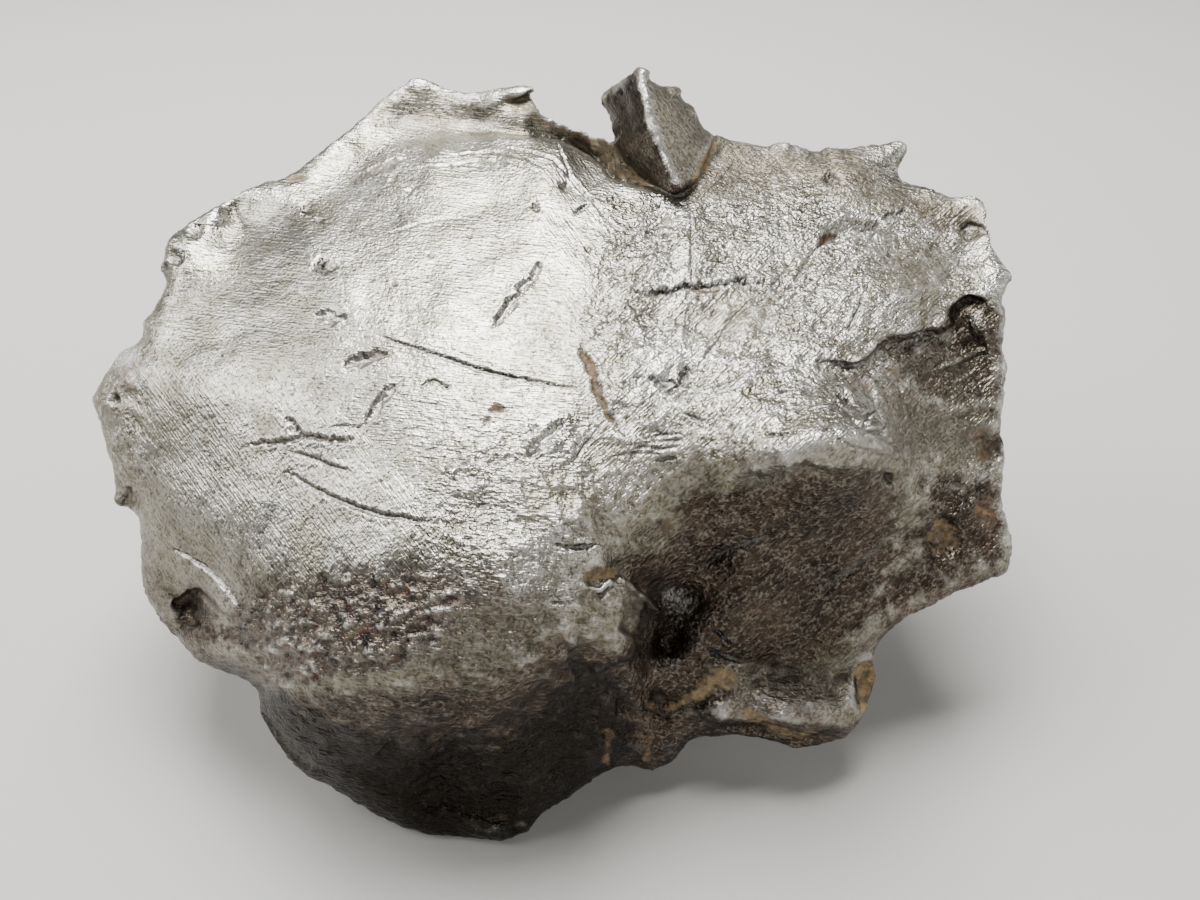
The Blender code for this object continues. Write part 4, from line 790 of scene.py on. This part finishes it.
def share_of(area, flat, facing):
    """The corners that the camera sees in or near an area, and how far each is in it, from 0 to 1."""
    rows = np.flatnonzero(facing)
    rows = rows[near(flat[rows], area["outline"], area["fade"])]
    return rows, ramp(within(flat[rows], area["outline"]), -area["fade"], area["fade"])


def strokes(flat, facing):
    """How strongly each corner shows the brush's falling strokes, its rising ones, and dimples."""
    weights = {way: np.zeros(len(flat)) for way in ("falling", "rising", "dimpled")}
    for area in STROKES:
        rows, share = share_of(area, flat, facing)
        weights[area["way"]][rows] = np.maximum(weights[area["way"]][rows], area["amount"] * share)
    weights["dimpled"][~facing] = HIDDEN_DIMPLES
    return weights


def crusted(places, flat, facing):
    """How much of the crust covers each corner, and how high its stepped flakes stand, from 0 to 1."""
    cover = np.zeros(len(places))
    rows = np.flatnonzero(facing)
    rows = rows[near(flat[rows], CRUST["outline"], 2 * CRUST["fade"])]
    where = places[rows]
    border = within(flat[rows], CRUST["outline"]) + 1.6 * CRUST["fade"] * grain(where, 3.0, 3)
    cover[rows] = ramp(border, -CRUST["fade"], CRUST["fade"])
    flakes = np.zeros(len(places))
    where = turned(flat[rows] * PIXEL, CRUST["angle"], CRUST["stretch"]) + [5.0, 0.0, 0.0]
    leaf, chip = grain(where, CRUST["leaf"], 3), grain(where + 9.0, CRUST["chip"], 3)
    crumple = 1 - 2.2 * np.abs(grain(where + 23.0, CRUST["crumple"], 3))
    steps = 0.3 * ramp(leaf, -0.2, 0.0) + 0.2 * ramp(leaf, 0.15, 0.3) + 0.2 * ramp(chip, -0.1, 0.2)
    flakes[rows] = np.clip(steps + 0.3 * crumple, 0, 1)
    return cover, flakes


# Millimetres by which a ridge stands out, a dent lies in and a hollow is deep, from where its mask starts to
# where it is full. The dent's mask is painted shade.
WORN_RIDGE = (0.08, 0.34)
SHADED_DENT = (0.03, 0.2)
DEEP_HOLLOW = (1.5, 6.0)

# How far up a face looks, from 1 for straight up to -1, where oxide or tarnish starts, and how much lower
# it looks where there is all of it. The oxide below is partly, and this tarnish wholly, painted shade.
UNDERSIDE_FROM, UNDERSIDE_WIDTH = 0.52, 0.62
STEEP_SHADE_FROM, STEEP_SHADE_WIDTH = 0.74, 0.45

HIDDEN_DIMPLES = 0.7  # of full dimples, on the side that the camera doesn't see
CRUST_LEVEL = 0.7  # height of the skin among the crust's flakes, from 0 to 1
CLEAR_OF_REST = 1.5  # millimetres above the floor from which marks have their full depth


def build_lump():
    """The lump's finished skin, with every mark pressed into it."""
    places, faces, extra = refined_skin()
    hollow, sharp = extra.T
    flat = seen(places)
    normals = normals_of(places, faces)
    facing = (normals * (EYE - places)).sum(axis=1) > 0
    holds = np.zeros((len(places), len(HOLDS)))
    stained(places, flat, facing, holds)
    press = marked(places, flat, facing, holds)
    cover, flakes = crusted(places, flat, facing)
    lift = textured(places, flat, facing, sharp) * (1 - 0.7 * cover) - press
    lift += cover * CRUST["depth"] * (flakes - CRUST_LEVEL)
    clear_of_rest = ramp(places[:, 2], 0.0, CLEAR_OF_REST)
    places = places + normals * (lift * clear_of_rest)[:, None]
    places[:, 2] = np.maximum(places[:, 2], 0)
    masks = masks_of(places, faces, facing, hollow, holds, cover, flakes)
    masks.update(strokes(flat, facing))
    return skin_object(places, faces, flat, masks)


def masks_of(places, faces, facing, hollow, holds, cover, flakes):
    """The masks of the finish: what marks and stains hold, and what the skin's form adds to them.

    Ridges are worn bright, dents get painted shade, faces that look less far up get a tarnish that is
    painted shade, hollows keep their brown oxide, and the underside keeps brown oxide that is also painted
    shade.
    """
    edges, _ = sides_of(faces)
    normals = normals_of(places, faces)
    bulge = ((places - averaged(places, edges, 5)) * normals).sum(axis=1)
    worn = ramp(bulge, *WORN_RIDGE) * (0.55 + 0.45 * ramp(grain(places + 83.0, 1.3, 3), -0.3, 0.15))
    # Painted shade in dents
    dent_shade = ramp(-bulge, *SHADED_DENT)
    mottle = grain(places + 71.0, 6.0, 3)
    calm = averaged(normals, edges, 12)[:, 2]
    # Brown oxide below, which is also painted shade
    underside = ramp(UNDERSIDE_FROM - calm + 0.25 * mottle, 0.0, UNDERSIDE_WIDTH)
    deep = ramp(hollow + 1.5 * mottle, *DEEP_HOLLOW)
    # Painted shade: a dark tarnish on faces that look less far up
    steep_shade = ramp(STEEP_SHADE_FROM - calm + 0.12 * mottle, 0.0, STEEP_SHADE_WIDTH)
    column = {name: holds[:, i] for i, name in enumerate(HOLDS)}
    worked = 1 - column.pop("bare")
    column["patina_and_shade"] = np.maximum.reduce((column["patina_and_shade"], worked * underside, 0.5 * worked * deep))
    column["tarnish"] = np.maximum(column["tarnish"], 0.9 * steep_shade)
    column["dark"] = np.maximum(column["dark"], 0.5 * dent_shade)
    column["bright"] = np.maximum(column["bright"], worn * (1 - 0.9 * column["patina_and_shade"]))
    column["bright"] = np.maximum(column["bright"] * (1 - cover), cover * ramp(flakes, 0.72, 1.0))
    column["crust"] = np.maximum(column["crust"], cover)
    column["flaked"] = flakes
    hidden = np.where(facing, 0.0, 1.0)
    column["patina_and_shade"] = np.maximum(column["patina_and_shade"], 0.5 * hidden * (0.8 + grain(places, 16.0, 2)))
    return column


def skin_object(places, faces, flat, masks):
    """The skin as an object, with its masks, and where the camera sees it, as attributes of its corners."""
    mesh = bpy.data.meshes.new("torn_iron_skin")
    mesh.from_pydata((places * MM).tolist(), [], faces.tolist())
    mesh.polygons.foreach_set("use_smooth", np.ones(len(faces), bool))
    for name, values in masks.items():
        layer = mesh.attributes.new(name, "FLOAT", "POINT")
        layer.data.foreach_set("value", np.clip(values, 0, 1).astype(np.float32))
    sight = np.column_stack((flat * (PIXEL * MM), np.zeros(len(flat))))
    layer = mesh.attributes.new("brushed", "FLOAT_VECTOR", "POINT")
    layer.data.foreach_set("vector", sight.astype(np.float32).ravel())
    mesh.update()
    lump = bpy.data.objects.new("torn_iron_skin", mesh)
    bpy.context.scene.collection.objects.link(lump)
    print("skin:", len(places), "corners,", len(faces), "triangles")
    return lump


# Finishes

# Sizes in millimetres. The real brush marks and specks are 0.1 mm wide, and are drawn as wide as the render
# can show them, with no finer detail.
STREAK_WIDTH, STREAK_LENGTH = 0.4, 4.2
SPECK = 0.55
DENT_WIDTH, DENT_LENGTH = 1.15, 1.9
FOLD_WIDTH, FOLD_LENGTH = 1.5, 2.6

# The brush's ways in degrees, over the dome, at its lower left, and over the saddle and wing: in the
# picture, and seen from above
PICTURE_WAYS = (-6, -54, 41)
TOP_WAYS = (9, 65, -53)
WAY_SHIFT = 0.003  # metres for each degree that a way's noise is shifted, so that no two ways look alike

# Each noise: the size of its lumps in millimetres, its detail and its roughness
PLAIN = 0.55
NOISES = {
    "speck": (SPECK, 1, PLAIN),
    "flaky": (1.5, 3, PLAIN),
    "blotch": (8.0, 5, 0.62),
    "wander": (5.0, 2, PLAIN),
    "olive": (4.5, 3, PLAIN),
    "patchy": (6.0, 2, PLAIN),
    "scaly": (2.2, 3, PLAIN),
    "crumbs": (1.4, 3, PLAIN),
    "grit": (1.1, 4, PLAIN),
}

# Each ground: the noise that mixes its two colours, where it is all the first and all the second, and both
GROUNDS = {
    "metal": ("blotch", 0.4, 0.62, "#A5A194", "#CAC7BE"),
    "tarnished metal": ("speck", 0.35, 0.65, "#5F5946", "#8E8775"),
    "brown oxide": ("blotch", 0.38, 0.62, "#2B241E", "#4A3E33"),
    "crust bed": ("scaly", 0.4, 0.6, "#363030", "#776D61"),
    "crust leaf": ("flaky", 0.4, 0.6, "#4C4745", "#A69E90"),
    "red rust": ("grit", 0.35, 0.65, "#33271E", "#745A3E"),
    "tan soil": ("crumbs", 0.3, 0.7, "#5A4C38", "#A38C66"),
}

# Each tint of a ground: the noise that it follows, where it starts and where it is full, how much it then
# covers, and its colour
METAL_TINTS = (
    ("olive", 0.5, 0.64, 0.45, "#8F8972"),
    ("streak", 0.5, 0.34, 0.5, "#7F7A6A"),
    ("speck", 0.46, 0.32, 0.75, "#565042"),
)
# The pale streaks on the brown oxide are painted highlights
OXIDE_TINTS = (("streak", 0.54, 0.68, 0.22, "#8A8072"),)
CRUST_TINTS = (("crumbs", 0.56, 0.64, 0.7, "#6E4A3E"),)

# Each cover: its mask, the noise that makes its border uneven, and half of the border's width
COVERS = {
    "oxide": ("patina_and_shade", "uneven", 0.34),
    # The dark mask's cover is painted shade
    "painted_shade_cover": ("dark", "speck", 0.3),
    "crusted": ("crust", "flaky", 0.2),
    "rusted": ("rust", "dents", 0.2),
    "soiled": ("clay", "dents", 0.2),
}
MIDDLE = 0.5
UNEVEN = 0.9  # how far the noise moves a cover's border

# Relief in millimetres, from the lowest to the highest of each noise
RELIEF = {"ridges": 0.24, "dents": 0.75, "streak": 0.13, "speck": 0.24, "flaky": 1.1}

METALLIC_TARNISH = 0.7  # of full metal

# The skin's masks, all but the one that only keeps oxide away
MASKS = HOLDS[:-1] + ("flaked", "falling", "rising", "dimpled")


def srgb(code):
    """An sRGB hex colour as the linear RGBA that a shader takes."""
    channels = [int(code[i : i + 2], 16) / 255 for i in (1, 3, 5)]
    return [c / 12.92 if c <= 0.04045 else ((c + 0.055) / 1.055) ** 2.4 for c in channels] + [1.0]


def add_node(tree, kind, inputs, output=0, **settings):
    """Adds a node with its settings, gives its inputs a value or a link each, and returns one output.

    Inputs without a name of their own go by number. Math reads 0 and 1. Mix reads its share from 0, and
    mixes numbers 2 and 3 or colours 6 and 7. MapRange turns the range from 1 to 2 into the one from 3 to 4.
    """
    made = tree.nodes.new("ShaderNode" + kind)
    for name, value in settings.items():
        setattr(made, name, value)
    for name, value in inputs.items():
        if isinstance(value, bpy.types.NodeSocket):
            tree.links.new(value, made.inputs[name])
        else:
            made.inputs[name].default_value = value
    return made.outputs[output]


def brushed_nickel_iron():
    """Kamacite, the nickel-iron of such a lump, cleaned with a rotary wire brush.

    Bare metal is warm grey and broken into short crossing streaks. A grey tarnish stays where the brush
    passed lightly, dark brown oxide stays in hollows and below, and rust and pale soil stay in cracks. The
    oxide below is partly painted shade, the tarnish of faces that look less far up and the dark of marks are
    painted shade, and some bright marks and flecks are painted highlights.
    """
    material = bpy.data.materials.new("wire_brushed_nickel_iron")
    material.use_nodes = True
    tree = material.node_tree
    shader = tree.nodes["Principled BSDF"]
    add = partial(add_node, tree)
    skin = noises_and_masks(add)
    covers(add, skin)

    # Rust and soil are matt and not metal. Tarnish is half matt, less so under oxide.
    earthy = add("Math", {0: skin["rusted"], 1: skin["soiled"]}, operation="MAXIMUM")
    shiny_oxide = add("MapRange", {"Value": skin["oxide"], 3: 1.0, 4: 0.3})
    dull = add("Math", {0: skin["tarnish"], 1: shiny_oxide}, operation="MULTIPLY")

    colour = laid_over(add, metal_colour(add, skin), (
        (skin["crusted"], crust_colour(add, skin)),
        (skin["rusted"], skin["red rust"]),
        (skin["soiled"], skin["tan soil"]),
    ))
    bare = add("MapRange", {"Value": earthy, 3: 1.0, 4: 0.1})
    clean = add("MapRange", {"Value": dull, 3: 1.0, 4: METALLIC_TARNISH})
    metallic = add("Math", {0: bare, 1: clean}, operation="MULTIPLY")
    combed = add("MapRange", {"Value": skin["streak"], 1: 0.35, 2: 0.65, 3: 0.38, 4: 0.28})
    tarnish_matter = add("Math", {0: dull, 1: 0.1}, operation="MULTIPLY")
    roughness = add("Math", {0: combed, 1: tarnish_matter}, operation="ADD")
    soil_matter = add("Math", {0: earthy, 1: 0.4}, operation="MULTIPLY")
    roughness = add("Math", {0: roughness, 1: soil_matter}, operation="ADD", use_clamp=True)
    tree.links.new(colour, shader.inputs["Base Color"])
    tree.links.new(metallic, shader.inputs["Metallic"])
    tree.links.new(roughness, shader.inputs["Roughness"])
    tree.links.new(relief(add, skin, dull), shader.inputs["Normal"])
    return material


def noises_and_masks(add):
    """The outputs that the rest of the material reads, by name: masks, noises and grounds."""
    place = add("TexCoord", {}, "Object")
    sight = add("Attribute", {}, "Vector", attribute_name="brushed")
    skin = {name: add("Attribute", {}, "Fac", attribute_name=name) for name in MASKS}
    for name, (size, detail, roughness) in NOISES.items():
        scale = {"Vector": place, "Scale": 1 / (size * MM), "Detail": detail, "Roughness": roughness}
        skin[name] = add("TexNoise", scale)
    wander = add("MapRange", {"Value": skin["wander"], 1: 0.42, 2: 0.58, 3: -0.35, 4: 0.35})
    for way in ("falling", "rising"):
        swayed = add("Math", {0: skin[way], 1: wander}, operation="ADD")
        skin[way] = add("MapRange", {"Value": swayed, 1: 0.35, 2: 0.6})
    skin["streak"] = along_brush(add, skin, sight, STREAK_WIDTH, STREAK_LENGTH, 1, PICTURE_WAYS)
    skin["dents"] = along_brush(add, skin, place, DENT_WIDTH, DENT_LENGTH, 2, TOP_WAYS)
    fold = along_brush(add, skin, place, FOLD_WIDTH, FOLD_LENGTH, 2, TOP_WAYS)
    off = add("Math", {0: fold, 1: MIDDLE}, operation="SUBTRACT")
    off = add("Math", {0: off}, operation="ABSOLUTE")
    skin["ridges"] = add("MapRange", {"Value": off, 2: 0.22, 3: 1.0, 4: 0.0})
    for name, (noise_name, first, second, one, other) in GROUNDS.items():
        share = add("MapRange", {"Value": skin[noise_name], 1: first, 2: second})
        skin[name] = laid_over(add, srgb(one), ((share, srgb(other)),))
    return skin


def along_brush(add, skin, where, width, length, detail, ways):
    """Noise with lumps that are longer along the brush's way, which changes from one way to the next."""
    lumps = []
    for angle in ways:
        shift, turn = (WAY_SHIFT * angle, 0, 0), (0, 0, math.radians(angle))
        aligned = add("Mapping", {"Vector": where, "Location": shift, "Rotation": turn})
        squeeze = {"Vector": aligned, "Scale": (width / length, 1, 1)}
        scale = {"Scale": 1 / (width * MM), "Detail": detail, "Roughness": PLAIN}
        lumps.append(add("TexNoise", {"Vector": add("Mapping", squeeze), **scale}))
    level, falling, rising = lumps
    lower = add("Mix", {0: skin["falling"], 2: level, 3: falling})
    return add("Mix", {0: skin["rising"], 2: lower, 3: rising})


def laid_over(add, colour, layers):
    """A colour under layers, each of which has its share, from 0 to 1, and its own colour."""
    for share, above in layers:
        colour = add("Mix", {0: share, 6: colour, 7: above}, 2, data_type="RGBA")
    return colour


def tints(add, skin, rows):
    """Layers for laid_over from rows of a table of tints."""
    for noise_name, start, full, most, code in rows:
        yield add("MapRange", {"Value": skin[noise_name], 1: start, 2: full, 4: most}), srgb(code)


def covers(add, skin):
    """Turns masks into covers: full above about 0.8 of the mask, none below about 0.2, uneven between."""
    both = add("Math", {0: skin["dents"], 1: skin["blotch"]}, operation="ADD")
    skin["uneven"] = add("Math", {0: both, 1: 0.5}, operation="MULTIPLY")
    for name, (mask, noise_name, half) in COVERS.items():
        off = add("Math", {0: skin[noise_name], 1: MIDDLE}, operation="SUBTRACT")
        moved = add("Math", {0: off, 1: UNEVEN}, operation="MULTIPLY")
        level = add("Math", {0: skin[mask], 1: moved}, operation="ADD")
        skin[name] = add("MapRange", {"Value": level, 1: MIDDLE - half, 2: MIDDLE + half})


def metal_colour(add, skin):
    """Warm grey metal with dents darkened as painted shade and rises lightened as painted glints, under its
    tarnish, oxide and bright wear.
    """
    patches = add("MapRange", {"Value": skin["patchy"], 1: 0.4, 2: 0.6, 3: 0.45})
    skin["rough patch"] = add("Math", {0: skin["dimpled"], 1: patches}, operation="MULTIPLY")
    # Painted shade in the dents where the metal is dimpled, and painted glints on their rises
    low = add("MapRange", {"Value": skin["dents"], 1: 0.5, 2: 0.36, 4: 0.5})
    low = add("Math", {0: skin["rough patch"], 1: low}, operation="MULTIPLY")
    high = add("MapRange", {"Value": skin["dents"], 1: 0.54, 2: 0.64, 4: 0.5})
    high = add("Math", {0: skin["rough patch"], 1: high}, operation="MULTIPLY")
    veil = add("MapRange", {"Value": skin["dents"], 1: 0.35, 2: 0.65, 3: 1.0, 4: 0.55})
    veil = add("Math", {0: skin["tarnish"], 1: veil}, operation="MULTIPLY", use_clamp=True)

    brown = laid_over(add, skin["brown oxide"], tints(add, skin, OXIDE_TINTS))
    # Pale flecks on the oxide's ridges: worn metal peaks, and painted glints
    on_ridges = add("MapRange", {"Value": skin["ridges"], 1: 0.55, 2: 0.95, 4: 0.42})
    in_specks = add("MapRange", {"Value": skin["speck"], 1: 0.42, 2: 0.6})
    flecks = add("Math", {0: on_ridges, 1: in_specks}, operation="MULTIPLY")
    brown = laid_over(add, brown, ((flecks, srgb("#A0968A")),))

    less = add("MapRange", {"Value": skin["oxide"], 3: 0.85, 4: 0.4})
    worn = add("Math", {0: skin["bright"], 1: less}, operation="MULTIPLY", use_clamp=True)
    metal = laid_over(add, skin["metal"], tints(add, skin, METAL_TINTS))
    # The near-black layer is painted shade, and the bright wear is partly painted highlight
    return laid_over(add, metal, (
        (low, srgb("#6A6251")),
        (high, srgb("#ECEAE4")),
        (veil, skin["tarnished metal"]),
        (skin["oxide"], brown),
        (skin["painted_shade_cover"], srgb("#221E1A")),
        (worn, srgb("#E2E0DA")),
    ))


def crust_colour(add, skin):
    """Grey and tan leaves of scale on a darker bed that is reddish in places, bright where they broke."""
    bed = laid_over(add, skin["crust bed"], tints(add, skin, CRUST_TINTS))
    leaves = add("Math", {0: skin["flaked"], 1: 0.8}, operation="MULTIPLY")
    broken = add("Math", {0: skin["bright"], 1: 0.8}, operation="MULTIPLY")
    return laid_over(add, bed, ((leaves, skin["crust leaf"]), (broken, srgb("#E4E2DC"))))


def relief(add, skin, dull):
    """The finest relief: dents, deep where it is dimpled and shallow on the crust, with tarnish smooth."""
    smooth = add("MapRange", {"Value": dull, 3: 1.0, 4: 0.55})
    dimpled = add("MapRange", {"Value": skin["rough patch"], 3: 0.14, 4: 1.0})
    dented = add("Math", {0: dimpled, 1: smooth}, operation="MULTIPLY")
    off_crust = add("MapRange", {"Value": skin["crusted"], 3: 1.0, 4: 0.2})
    dented = add("Math", {0: dented, 1: off_crust}, operation="MULTIPLY")
    grainy = add("MapRange", {"Value": skin["rough patch"], 3: 0.5, 4: 1.0})
    specked = add("Math", {0: grainy, 1: smooth}, operation="MULTIPLY")
    on_metal = add("MapRange", {"Value": skin["oxide"], 3: 1.0, 4: 0.6})
    on_wing = add("MapRange", {"Value": skin["rising"], 3: 1.0, 4: 1.6})
    combed = add("Math", {0: on_metal, 1: on_wing}, operation="MULTIPLY")
    strengths = {"ridges": dented, "dents": dented, "streak": combed, "speck": specked,
                 "flaky": skin["crusted"]}
    below = {}
    for name, depth in RELIEF.items():
        height = {"Height": skin[name], "Distance": depth * MM, "Strength": strengths[name]}
        below = {"Normal": add("Bump", {**height, **below})}
    return below["Normal"]


# Studio


FLOOR_REACH = 3.0  # metres each way


def pale_floor():
    """A plain pale sheet under the lump."""
    material = bpy.data.materials.new("matt_studio_paper")
    material.use_nodes = True
    surface = material.node_tree.nodes["Principled BSDF"]
    surface.inputs["Base Color"].default_value = srgb("#C4C2BD")
    surface.inputs["Roughness"].default_value = 0.9
    corners = [(FLOOR_REACH * x, FLOOR_REACH * y, 0) for x, y in ((-1, -1), (1, -1), (1, 1), (-1, 1))]
    mesh = bpy.data.meshes.new("studio_floor")
    mesh.from_pydata(corners, [], [(0, 1, 2, 3)])
    mesh.materials.append(material)
    floor = bpy.data.objects.new("studio_floor", mesh)
    bpy.context.scene.collection.objects.link(floor)
    floor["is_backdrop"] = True


# Soft boxes: where they hang and how wide they are in metres, and their power in watts
LIGHTS = (
    dict(name="overhead_softbox", at=(-0.04, 0.26, 0.76), size=0.46, power=14.0),
    dict(name="left_fill", at=(-0.66, 0.08, 0.55), size=0.5, power=5.5),
    dict(name="right_rim", at=(0.8, 0.35, 0.45), size=0.35, power=1.4),
    dict(name="right_front", at=(0.8, -0.35, 0.22), size=0.3, power=1.4),
    dict(name="front_fill", at=(0.1, -0.9, 0.65), size=0.45, power=2.4),
)


MIDDLE_OF_LUMP = Vector((0.0, 0.0, 0.045))  # metres
WORLD_STRENGTH = 0.28


def studio_lights():
    """Soft boxes that all look at the middle of the lump, and an even grey round them."""
    for box in LIGHTS:
        data = bpy.data.lights.new(box["name"], "AREA")
        data.size = box["size"]
        data.energy = box["power"]
        lamp = bpy.data.objects.new(box["name"], data)
        lamp.location = box["at"]
        lamp.rotation_euler = (MIDDLE_OF_LUMP - Vector(box["at"])).to_track_quat("-Z", "Y").to_euler()
        bpy.context.scene.collection.objects.link(lamp)
    world = bpy.data.worlds.new("studio_grey")
    world.use_nodes = True
    background = world.node_tree.nodes["Background"]
    background.inputs["Color"].default_value = srgb("#8A8B8D")
    background.inputs["Strength"].default_value = WORLD_STRENGTH
    bpy.context.scene.world = world


def photo_camera():
    """The camera at the photo's angle, height and angle of view."""
    data = bpy.data.cameras.new("photo_camera")
    data.lens = LENS
    data.sensor_width = SENSOR
    data.clip_start = 0.01
    camera = bpy.data.objects.new("photo_camera", data)
    camera.location = EYE * MM
    camera.rotation_euler = (math.pi / 2 - EYE_PITCH, 0, 0)
    bpy.context.scene.collection.objects.link(camera)
    bpy.context.scene.camera = camera


def main():
    """The lump in place of its node, the floor, the lights and the camera."""
    lump = build_lump()
    lump.data.materials.append(brushed_nickel_iron())
    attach(lump, "root")
    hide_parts(NODE)
    pale_floor()
    studio_lights()
    photo_camera()


main()
boxes = {"cad": cad_box, "visual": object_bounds()}
{name: [[float(v) for v in corner] for corner in box] for name, box in boxes.items()}
